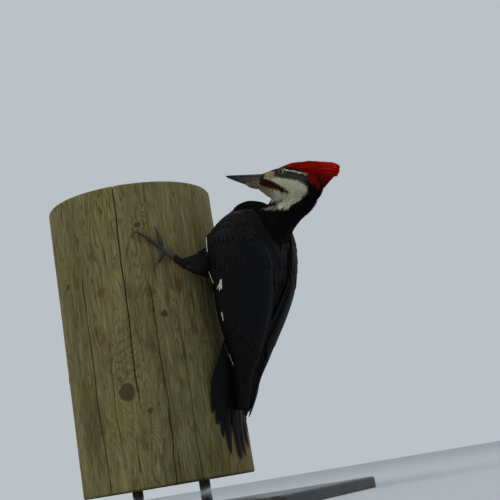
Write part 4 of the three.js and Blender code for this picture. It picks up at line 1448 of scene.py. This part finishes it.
def foot(name, leg):
    """The tarsus and four toes: one joined mesh of overlapping limbs."""
    sides, rings = 22, 110
    dorsal = unit(leg.outward)
    pieces = [tube(leg.tarsus, [3.4, 3.7, 2.9, 3.4], sides, rings, dorsal, scutes(17, 0.10))]
    for turn, up, thick, *_ in TOES:
        arch = leg.spot(lerp(FOOT[0], turn, 0.5), lerp(FOOT[1], up, 0.5), thick + 3)
        line = catmull([leg.ankle, arch, leg.spot(turn, up, thick + 0.4)], np.linspace(0, 1, 5))
        pieces.append(tube(line, [r * thick for r in TOE_THICKNESS], sides, rings, dorsal, scutes(13, 0.13)))
    return lofts(name, np.stack(pieces))


def claw(name, leg, spec):
    """A strongly hooked claw, deep and narrow, with a ridge along its top."""
    turn, up, thick, tip_turn, tip_up, rise = spec
    hump = (lerp(turn, tip_turn, 0.5), lerp(up, tip_up, 0.5) + rise * 0.5)
    path = [
        leg.spot(turn, up, thick + 0.6),
        leg.spot(*hump, thick + rise * 0.4),
        leg.spot(tip_turn, tip_up, -0.6),
    ]
    radii = [r * thick for r in CLAW_THICKNESS]
    shape = lambda _, around: 0.72 + 0.38 * np.abs(np.cos(around)) ** 1.5
    return lofts(name, tube(path, radii, 20, 46, unit(leg.outward), shape)[None])


def claw_material():
    """Dark horn with streaks along each claw."""
    m = Nodes("claw_horn")
    streak = m.noise(m.position((1, 1, 0.3)), 1800, 3)
    blot = m.noise(m.position(), 300, 3)
    tone = m.mix(m.remap(streak, 0.3, 0.7, 0.0, 1.0), (0.018, 0.017, 0.016), (0.060, 0.056, 0.050))
    m.set(Base_Color=tone, Roughness=m.remap(blot, 0.3, 0.7, 0.28, 0.45), Specular_IOR_Level=0.5)
    m.set(Normal=m.bump(streak, 0.2, 0.0001))
    return m.material


# ---- the pole and the stand
# Turn from +X, width at the surface, depth, the stretch of the pole from 0 to 1, and how far it wanders.
CHECKS = [
    (-96, 1.9, 18, -0.1, 0.78, 0.8),
    (-66, 1.7, 16, 0.22, 1.1, 0.7),
    (-128, 1.5, 15, -0.1, 1.1, 0.6),
    (25, 1.9, 17, 0.45, 1.1, 0.8),
    (118, 2.2, 20, -0.1, 0.60, 0.9),
    (175, 1.7, 16, 0.20, 1.1, 0.7),
    (-50, 1.0, 8, -0.1, 0.70, 1.0),
    (-82, 0.8, 6, 0.05, 0.52, 0.9),
    (-110, 0.8, 6, 0.30, 1.1, 0.9),
    (-33, 0.9, 7, -0.1, 0.55, 0.9),
    (-10, 0.9, 5, 0.50, 0.95, 1.0),
    (50, 1.0, 5, -0.1, 0.45, 1.2),
    (75, 0.9, 4, 0.30, 1.1, 1.0),
    (98, 0.9, 4, 0.55, 1.1, 1.0),
    (142, 1.0, 5, 0.40, 0.90, 1.0),
    (-152, 1.0, 5, 0.0, 0.55, 1.0),
]
# Where the mesh's columns go at a check, in half-widths from its middle.
CHECK_REACH = (-3.2, -1.6, -1.0, 0.0, 1.0, 1.6, 3.2)
# Turn, height over the pole's foot, and radius of the knots.
KNOTS = [
    (-73.9, 116, 12.0),
    (-43, 203, 5.0),
    (-113, 262, 5.0),
    (-61, 90, 4.0),
    (-52, 318, 4.5),
    (-137, 150, 6.0),
    (10, 70, 9.0),
    (60, 240, 11.0),
    (105, 120, 6.0),
    (150, 300, 8.0),
    (-170, 60, 9.0),
    (35, 330, 5.0),
]
ROD_BOTTOM = 14.3
# Height over the rod's bottom, and radius.
ROD_STATIONS = ((0, 6.6), (0.3, 7.0), (29.1, 7.0), (29.4, 6.6))
ROD_SPACING = 52


def check_columns(z, columns):
    """How the checks pull the columns of the pole's side round, how deep they are there, and how much painted
    shade darkens them.
    """
    turn = np.empty((len(z), columns))
    depth, dark = np.zeros_like(turn), np.zeros_like(turn)
    phases = [np.random.default_rng(60 + i).uniform(0, 6.28, 3) for i in range(len(CHECKS))]
    for r, height in enumerate(z):
        share = height / POLE_LENGTH
        marks = []
        for (at, width, deep, low, high, sway), (a, b, c) in zip(CHECKS, phases):
            waves = np.sin(height / 62 + a) + 0.5 * np.sin(height / 23 + b) + 0.2 * np.sin(height / 7 + c)
            opening = smoothstep(share, low, low + 0.10) * (1 - smoothstep(share, high - 0.10, high))
            half = math.degrees(width / 2 / POLE_RADII[0]) * max(float(opening), 0.15)
            k = int(round((at + 180) / 360 * columns)) % columns
            for shift, reach in enumerate(CHECK_REACH, -(len(CHECK_REACH) // 2)):
                outermost = reach in (CHECK_REACH[0], CHECK_REACH[-1])
                off = math.copysign(max(abs(reach) * half, 2.2), shift) if outermost else reach * half
                marks.append(((k + shift) % columns, at + sway * waves + off))
            # painted shade: the check and the columns beside it are darkened by how far it opens
            depth[r, k], dark[r, k] = deep * opening * (0.85 + 0.15 * math.sin(height / 5 + c)), opening
            for beside in ((k - 1) % columns, (k + 1) % columns):
                depth[r, beside], dark[r, beside] = 0.25 * opening, 0.35 * opening
        index, value = np.array(sorted(marks)).T
        value = value - 360 * np.round((value - (index / columns * 360 - 180)) / 360)
        index = np.concatenate([[index[-1] - columns], index, [index[0] + columns]])
        value = np.concatenate([[value[-1] - 360], value, [value[0] + 360]])
        turn[r] = np.interp(np.arange(columns), index, value)
    return turn, depth, dark


def wood_figure(turn, height):
    """The growth rings' level over the pole's side, where the knots are, and how far the wood stands out."""
    around = np.radians(turn)
    flat = np.stack([POLE_RADII[0] * np.cos(around), POLE_RADII[0] * np.sin(around), height], -1)
    wave = lambda seed, size, drawn_out: Ripple(seed, size, 30)(flat * np.array([1, 1, drawn_out]))
    grain = 6.0 * wave(71, 95, 0.16) + height * 0.012
    grain += 1.2 * wave(72, 30, 0.16)
    knot, proud = np.zeros_like(height), np.zeros_like(height)
    for at, up, size in KNOTS:
        across = (np.mod(turn - at + 180, 360) - 180) * math.pi / 180 * POLE_RADII[0]
        spoke = np.arctan2(height - up, across)
        uneven = 1 + 0.06 * np.sin(3 * spoke + at) + 0.035 * np.sin(7 * spoke + up)
        far = np.hypot(across, (height - up) * 0.92) * uneven
        grain += 6.5 * np.exp(-((across / (size * 2.6)) ** 2) - ((height - up) / (size * 4.2)) ** 2)
        knot = np.maximum(knot, 1 - smoothstep(far, size * 0.55, size * 1.05))
        proud += 0.45 * np.exp(-((far / size) ** 2)) - 0.35 * np.exp(-(((far - size * 1.05) / 1.6) ** 2))
    weather = 0.16 * wave(73, 14, 0.12)
    grain += 0.55 * wave(75, 11, 0.10)
    return grain, knot, np.minimum(-0.35 + proud + weather + 0.12 * np.sin(grain * 2 * math.pi), 0.2)


def pole():
    """The cut pole: checks open down its side, knots stand a little proud, and both ends show rings."""
    columns, rows, rings = 360, 236, 16
    z = np.linspace(0, POLE_LENGTH, rows)
    turn, depth, dark = check_columns(z, columns)
    height = np.repeat(z[:, None], columns, 1)
    grain, knot, lift = wood_figure(turn, height)
    worn = 1.4 * np.clip(1 - np.minimum(height, POLE_LENGTH - height) / 1.6, 0, 1) ** 2
    radius = lerp(*POLE_RADII, height / POLE_LENGTH) + lift - depth - worn
    around = np.radians(turn)
    side = np.stack([POLE_X + radius * np.cos(around), radius * np.sin(around), POLE_BOTTOM + height], -1)
    points, quads, tris, cracks = [side.reshape(-1, 3)], [ring_faces(1, rows, columns)[0]], [], [dark.ravel()]
    k, share = np.arange(columns), 1 - (np.arange(1, rings) / rings)[:, None]
    for row, level, inwards in ((0, POLE_BOTTOM, 1), (rows - 1, POLE_BOTTOM + POLE_LENGTH, -1)):
        first = sum(map(len, points))
        x, y = (radius[row] * share * wave(around[row]) for wave in (np.cos, np.sin))
        cut = 0.5 * Ripple(74 + row, 18)(np.stack([x, y, 0 * x], -1))
        inner = np.stack([POLE_X + x, y, level + (0.3 + 0.2 * cut) * inwards], -1)
        points += [inner.reshape(-1, 3), [[POLE_X, 0, level + 0.3 * inwards]]]
        # the painted shade of the checks runs on to the sawn ends
        cracks += [(dark[row] * smoothstep(share, 0.75, 1.0)).ravel(), [0]]
        loops = [row * columns + k] + [first + i * columns + k for i in range(rings - 1)]
        for outer, within in zip(loops[:-1], loops[1:]):
            faces = np.stack([outer, np.roll(outer, -1), np.roll(within, -1), within], -1)
            quads.append(faces[:, ::-inwards])
        middle = np.full(columns, first + (rings - 1) * columns)
        tris.append(np.stack([loops[-1], np.roll(loops[-1], -1), middle], -1)[:, ::-inwards])
    obj = new_object("pole", np.concatenate(points), np.concatenate(quads), tris=np.concatenate(tris))
    crack = np.concatenate(cracks)
    only_side = lambda values: np.pad(values.ravel(), (0, len(crack) - values.size))
    set_values(obj, "grain", only_side(grain))
    set_values(obj, "knot", only_side(knot))
    set_values(obj, "crack", crack)
    set_values(obj, "end", 1 - only_side(np.ones_like(height)))
    return obj


def side_grain(m, fibre, late, streak, stain, blotch):
    """The colour of the pole's side: growth rings, stains, bleached streaks, fibres and hairlines."""
    drawn_out = lambda scale, stretch, *rest: m.noise(m.position((1, 1, stretch)), scale, *rest)
    patchy = m.remap(drawn_out(34, 0.25, 3), 0.38, 0.62, 0.45, 1.0)
    wood = m.mix(m.times(late, patchy), (0.310, 0.266, 0.108), (0.104, 0.070, 0.022))
    for pattern, low, high, most, colour in (
        (streak, 0.35, 0.68, 0.4, (0.168, 0.148, 0.058)),
        (drawn_out(9, 0.3, 3), 0.42, 0.62, 0.38, (0.150, 0.168, 0.064)),
        (stain, 0.5, 0.72, 0.62, (0.080, 0.058, 0.022)),
        (blotch, 0.56, 0.66, 0.7, (0.125, 0.074, 0.025)),
        (drawn_out(75, 0.10, 3, 0.6), 0.55, 0.72, 0.6, (0.34, 0.31, 0.155)),
    ):
        wood = m.mix(m.remap(pattern, low, high, 0.0, most), wood, colour)
    wood = m.mix(m.remap(fibre, 0.34, 0.62, 0.66, 0.0), wood, (0.072, 0.054, 0.020))
    # hairline checks: the level lines of a noise drawn out along the grain
    for scale, stretch, wide in ((120, 0.018, 0.0065), (260, 0.03, 0.0075)):
        line = m.remap(m.off(drawn_out(scale, stretch, 1), 0.5), 0.3 * wide, wide, 1.0, 0.0)
        gate = m.remap(drawn_out(40, 0.2, 2), 0.42, 0.58, 0.0, 0.85)
        wood = m.mix(m.times(line, gate), wood, (0.026, 0.019, 0.008))
    return wood


def end_grain(m, where, stain):
    """The colour of a sawn end: a ring for each year round the heart, with stains."""
    x, y, _ = m.parts(where)
    x = m.math("SUBTRACT", x, POLE_X * MM)
    away = m.math("SQRT", m.add(m.times(x, x), m.times(y, y)))
    wobble = m.times(m.noise(where, 22, 2), 0.012)
    year = m.ramp(m.math("FRACT", m.times(m.add(away, wobble), 330)), [(0, 0), (0.6, 0.2), (0.9, 1), (1, 0)])
    face = m.mix(year, (0.36, 0.30, 0.165), (0.20, 0.15, 0.075))
    face = m.mix(m.remap(stain, 0.45, 0.7, 0, 0.5), face, (0.20, 0.17, 0.10))
    return m.mix(m.remap(away, 0.012, 0.0, 0, 0.7), face, (0.14, 0.09, 0.045))


def pole_material():
    """Weathered olive-brown pine: growth rings cut into waves, fibres, knots, stains, and checks darkened by
    painted shade.
    """
    m = Nodes("pole_pine")
    fibre = m.noise(m.position((1, 1, 0.045)), 900, 4, 0.6)
    streak = m.noise(m.position((1, 1, 0.06)), 130, 4, 0.6)
    stain = m.noise(m.position((1, 1, 0.45)), 16, 4, 0.55)
    blotch = m.noise(m.position((1, 1, 0.55)), 62, 4, 0.6)
    ring = m.math("FRACT", m.add(m.attribute("grain"), m.times(streak, 0.55)))
    late = m.ramp(ring, [(0.0, 0), (0.55, 0.18), (0.86, 1), (0.93, 0.6), (1.0, 0)])
    wood = side_grain(m, fibre, late, streak, stain, blotch)
    knot = m.attribute("knot")
    knot_ring = m.math("FRACT", m.add(m.times(knot, 3.6), m.times(blotch, 1.6)))
    wood = m.mix(m.remap(m.off(knot, 0.12), 0.0, 0.12, 0.5, 0.0), wood, (0.235, 0.215, 0.100))
    knot_wood = m.mix(knot_ring, (0.036, 0.031, 0.013), (0.112, 0.096, 0.040))
    wood = m.mix(m.remap(knot, 0.2, 0.55, 0.0, 0.95), wood, knot_wood)
    where = m.node("ShaderNodeTexCoord").outputs["Object"]
    wood = m.mix(m.attribute("end"), wood, end_grain(m, where, stain))
    # painted shade down the checks
    wood = m.mix(m.remap(m.attribute("crack"), 0.15, 0.95, 0.0, 0.92), wood, (0.018, 0.014, 0.008))
    m.set(Base_Color=wood, Roughness=m.remap(fibre, 0.3, 0.7, 0.78, 0.95), Specular_IOR_Level=0.12)
    m.set(Normal=m.bump(fibre, 0.5, 0.0006, m.bump(late, 0.25, 0.0005)))
    return m.material


def display_base():
    """The lacquered base: a rounded rectangle with a softened edge."""
    length, width, thick, corner, soft = 340.0, 262.0, 14.0, 16.0, 3.0
    quarter = np.linspace(0, 90, 13)
    a = np.radians(np.concatenate([quarter + turn for turn in (0, 90, 180, 270)]))
    outward = np.stack([np.cos(a), np.sin(a)], -1)
    middles = np.array([(1, 1), (-1, 1), (-1, -1), (1, -1)]) * (length / 2 - corner, width / 2 - corner)
    outline = np.repeat(middles, len(quarter), 0) + corner * outward
    rings = [(-1.5, 0.0), (-0.4, 0.25), (0.0, 1.0), (0.0, thick - soft)]
    for bend in np.radians([15, 30, 45, 60, 75, 90]):
        rings.append((soft * (math.cos(bend) - 1), thick - soft + soft * math.sin(bend)))
    grid = [np.column_stack([outline + outward * out, np.full(len(outline), high)]) for out, high in rings]
    return lofts("base", np.stack(grid)[None], smooth=False)


def lacquer_material():
    """Black lacquer over open-grained wood, with a few fine rubs."""
    m = Nodes("base_lacquer")
    grain = m.noise(m.position((0.12, 1, 1)), 420, 4, 0.6)
    rub = m.noise(m.position(), 60, 4)
    tone = m.mix(m.remap(grain, 0.35, 0.7, 0.0, 1.0), (0.012, 0.011, 0.010), (0.034, 0.029, 0.025))
    m.set(Base_Color=tone, Roughness=m.remap(rub, 0.3, 0.7, 0.26, 0.42), Specular_IOR_Level=0.5)
    m.set(Normal=m.bump(grain, 0.18, 0.0002))
    return m.material


def stand_rod(name, x):
    """A turned steel rod with the edges of its ends broken."""
    turn = np.arange(72) / 72 * 2 * math.pi
    rings = [[(x + r * math.cos(a), r * math.sin(a), ROD_BOTTOM + h) for a in turn] for h, r in ROD_STATIONS]
    return lofts(name, np.array([rings]))


def steel_material():
    """Brushed steel."""
    m = Nodes("rod_steel")
    brush = m.noise(m.position((1, 1, 14)), 500, 3)
    blot = m.noise(m.position(), 120, 3)
    tone = m.mix(m.remap(brush, 0.3, 0.7, 0.0, 1.0), (0.42, 0.43, 0.44), (0.62, 0.63, 0.64))
    m.set(Base_Color=tone, Metallic=1.0, Roughness=m.remap(blot, 0.3, 0.7, 0.25, 0.4))
    m.set(Normal=m.bump(brush, 0.12, 0.0001))
    return m.material


# ---- floor, light and camera
PHOTO_PIXELS = 500  # the photograph's width
FOCAL_PIXELS = 1054.2  # the focal length, in the photograph's pixels
SENSOR = 36


def studio():
    """A pale floor, an overcast sky and two soft lamps."""
    reach = 6000
    corners = [(-reach, -reach, 0), (reach, -reach, 0), (reach, reach, 0), (-reach, reach, 0)]
    floor = new_object("floor", corners, [(0, 1, 2, 3)], smooth=False)
    m = Nodes("floor_paper")
    tooth = m.remap(m.noise(m.position(), 40, 4), 0.3, 0.7, 0, 1)
    paper = m.mix(tooth, (0.56, 0.58, 0.60), (0.60, 0.62, 0.64))
    m.set(Base_Color=paper, Roughness=0.9, Specular_IOR_Level=0.1)
    floor.data.materials.append(m.material)
    world = bpy.data.worlds.new("studio")
    bpy.context.scene.world = world
    world.use_nodes = True
    back = world.node_tree.nodes["Background"]
    back.inputs["Color"].default_value = (0.52, 0.565, 0.60, 1)
    back.inputs["Strength"].default_value = 0.95
    for name, at, size, power in (("key", (-0.9, -1.6, 2.3), 1.8, 16), ("rim", (1.4, 0.9, 1.9), 1.4, 9)):
        lamp = bpy.data.lights.new(name, "AREA")
        lamp.shape, lamp.size, lamp.energy = "DISK", size, power
        lamp.color = (1.0, 0.99, 0.97)
        obj = bpy.data.objects.new(name, lamp)
        obj.location = at
        obj.rotation_euler = (Vector((0.06, 0, 0.28)) - Vector(at)).to_track_quat("-Z", "Y").to_euler()
        bpy.context.scene.collection.objects.link(obj)


def camera():
    """The photograph's view: from the lower left of the bird's back, with the pole's top leaning left."""
    turn, tilt, roll = (math.radians(a) for a in (28.5, -12.0, 9.6))
    target, distance = Vector((0.0738, 0.0716, 0.329)), 1.4
    back = Vector((math.sin(turn) * math.cos(tilt), -math.cos(turn) * math.cos(tilt), math.sin(tilt)))
    right = (-back).cross(Vector((0, 0, 1))).normalized()
    up = right.cross(-back)
    turned_right = math.cos(roll) * right - math.sin(roll) * up
    turned_up = math.sin(roll) * right + math.cos(roll) * up
    lens = bpy.data.cameras.new("camera")
    lens.sensor_width, lens.lens = SENSOR, FOCAL_PIXELS * SENSOR / PHOTO_PIXELS
    lens.clip_start, lens.clip_end = 0.05, 60
    obj = bpy.data.objects.new("camera", lens)
    axes = Matrix((turned_right, turned_up, back)).transposed().to_4x4()
    obj.matrix_world = Matrix.Translation(target + distance * back) @ axes
    bpy.context.scene.collection.objects.link(obj)
    bpy.context.scene.camera = obj


# ---- the whole model
FLESH = ("trunk", "neck", "head", "crest", "thigh_left", "thigh_right", "wing_left", "wing_right")
flesh = skin()
surface = Surface(flesh)
set_colours(flesh, markings(surface.points, 0.4))
finish_piece(flesh, skin_material(), FLESH)

feather_black = plumage_material("plumage", 0.10, 0.48, 60)
feather_soft = plumage_material("plumage_soft", 0.07, 0.66, 30)
for piece in body_coat(surface):
    finish_piece(piece, feather_black if piece.name == "coat_body" else feather_soft)
for name, side in SIDES.items():
    for piece in wing_feathers(side, name):
        finish_piece(piece, feather_black)
finish_piece(tail_feathers(), feather_black, ("tail",))
for piece in crest_feathers():
    finish_piece(piece, feather_soft)
for piece in (nasal_tufts(), chin_tufts(), shin_tufts()):
    finish_piece(piece, feather_soft)
finish_piece(tail_coverts(), feather_black)

horn = bill_material()
for half, line, sign, root, tip in (
    ("upper", UPPER_BILL, 1, (0.022, 0.023, 0.027), (0.013, 0.014, 0.018)),
    ("lower", LOWER_BILL, -1, (0.070, 0.064, 0.043), (0.013, 0.013, 0.014)),
):
    finish_piece(mandible(half + "_mandible", line, sign, root, tip), horn, ("bill_" + half,))
wet = eye_material()
lid_skin = bare_skin_material("lid_skin", (0.014, 0.014, 0.015), 2400)
foot_skin = bare_skin_material("foot_skin", (0.016, 0.016, 0.0135), 1500)
claw_horn = claw_material()
for name, side in SIDES.items():
    leg = LEGS[name]
    finish_piece(eye("eyeball_" + name, -side), wet, ("eye_" + name,))
    finish_piece(eyelids("eyelids_" + name, -side), lid_skin)
    finish_piece(foot("toes_" + name, leg), foot_skin, ("foot_" + name,))
    for number, spec in enumerate(TOES, 1):
        nail = claw(f"nail_{number}_{name}", leg, spec)
        finish_piece(nail, claw_horn, (f"claw_{number}_{name}",))

finish_piece(pole(), pole_material(), ("perch_pole",))
finish_piece(display_base(), lacquer_material(), ("stand_base",))
steel = steel_material()
for name, side in (("inner", -1), ("outer", 1)):
    rod = stand_rod("rod_" + name, POLE_X + side * ROD_SPACING)
    finish_piece(rod, steel, ("stand_rod_" + name,))

studio()
camera()
bpy.context.scene.view_settings.view_transform = "Standard"
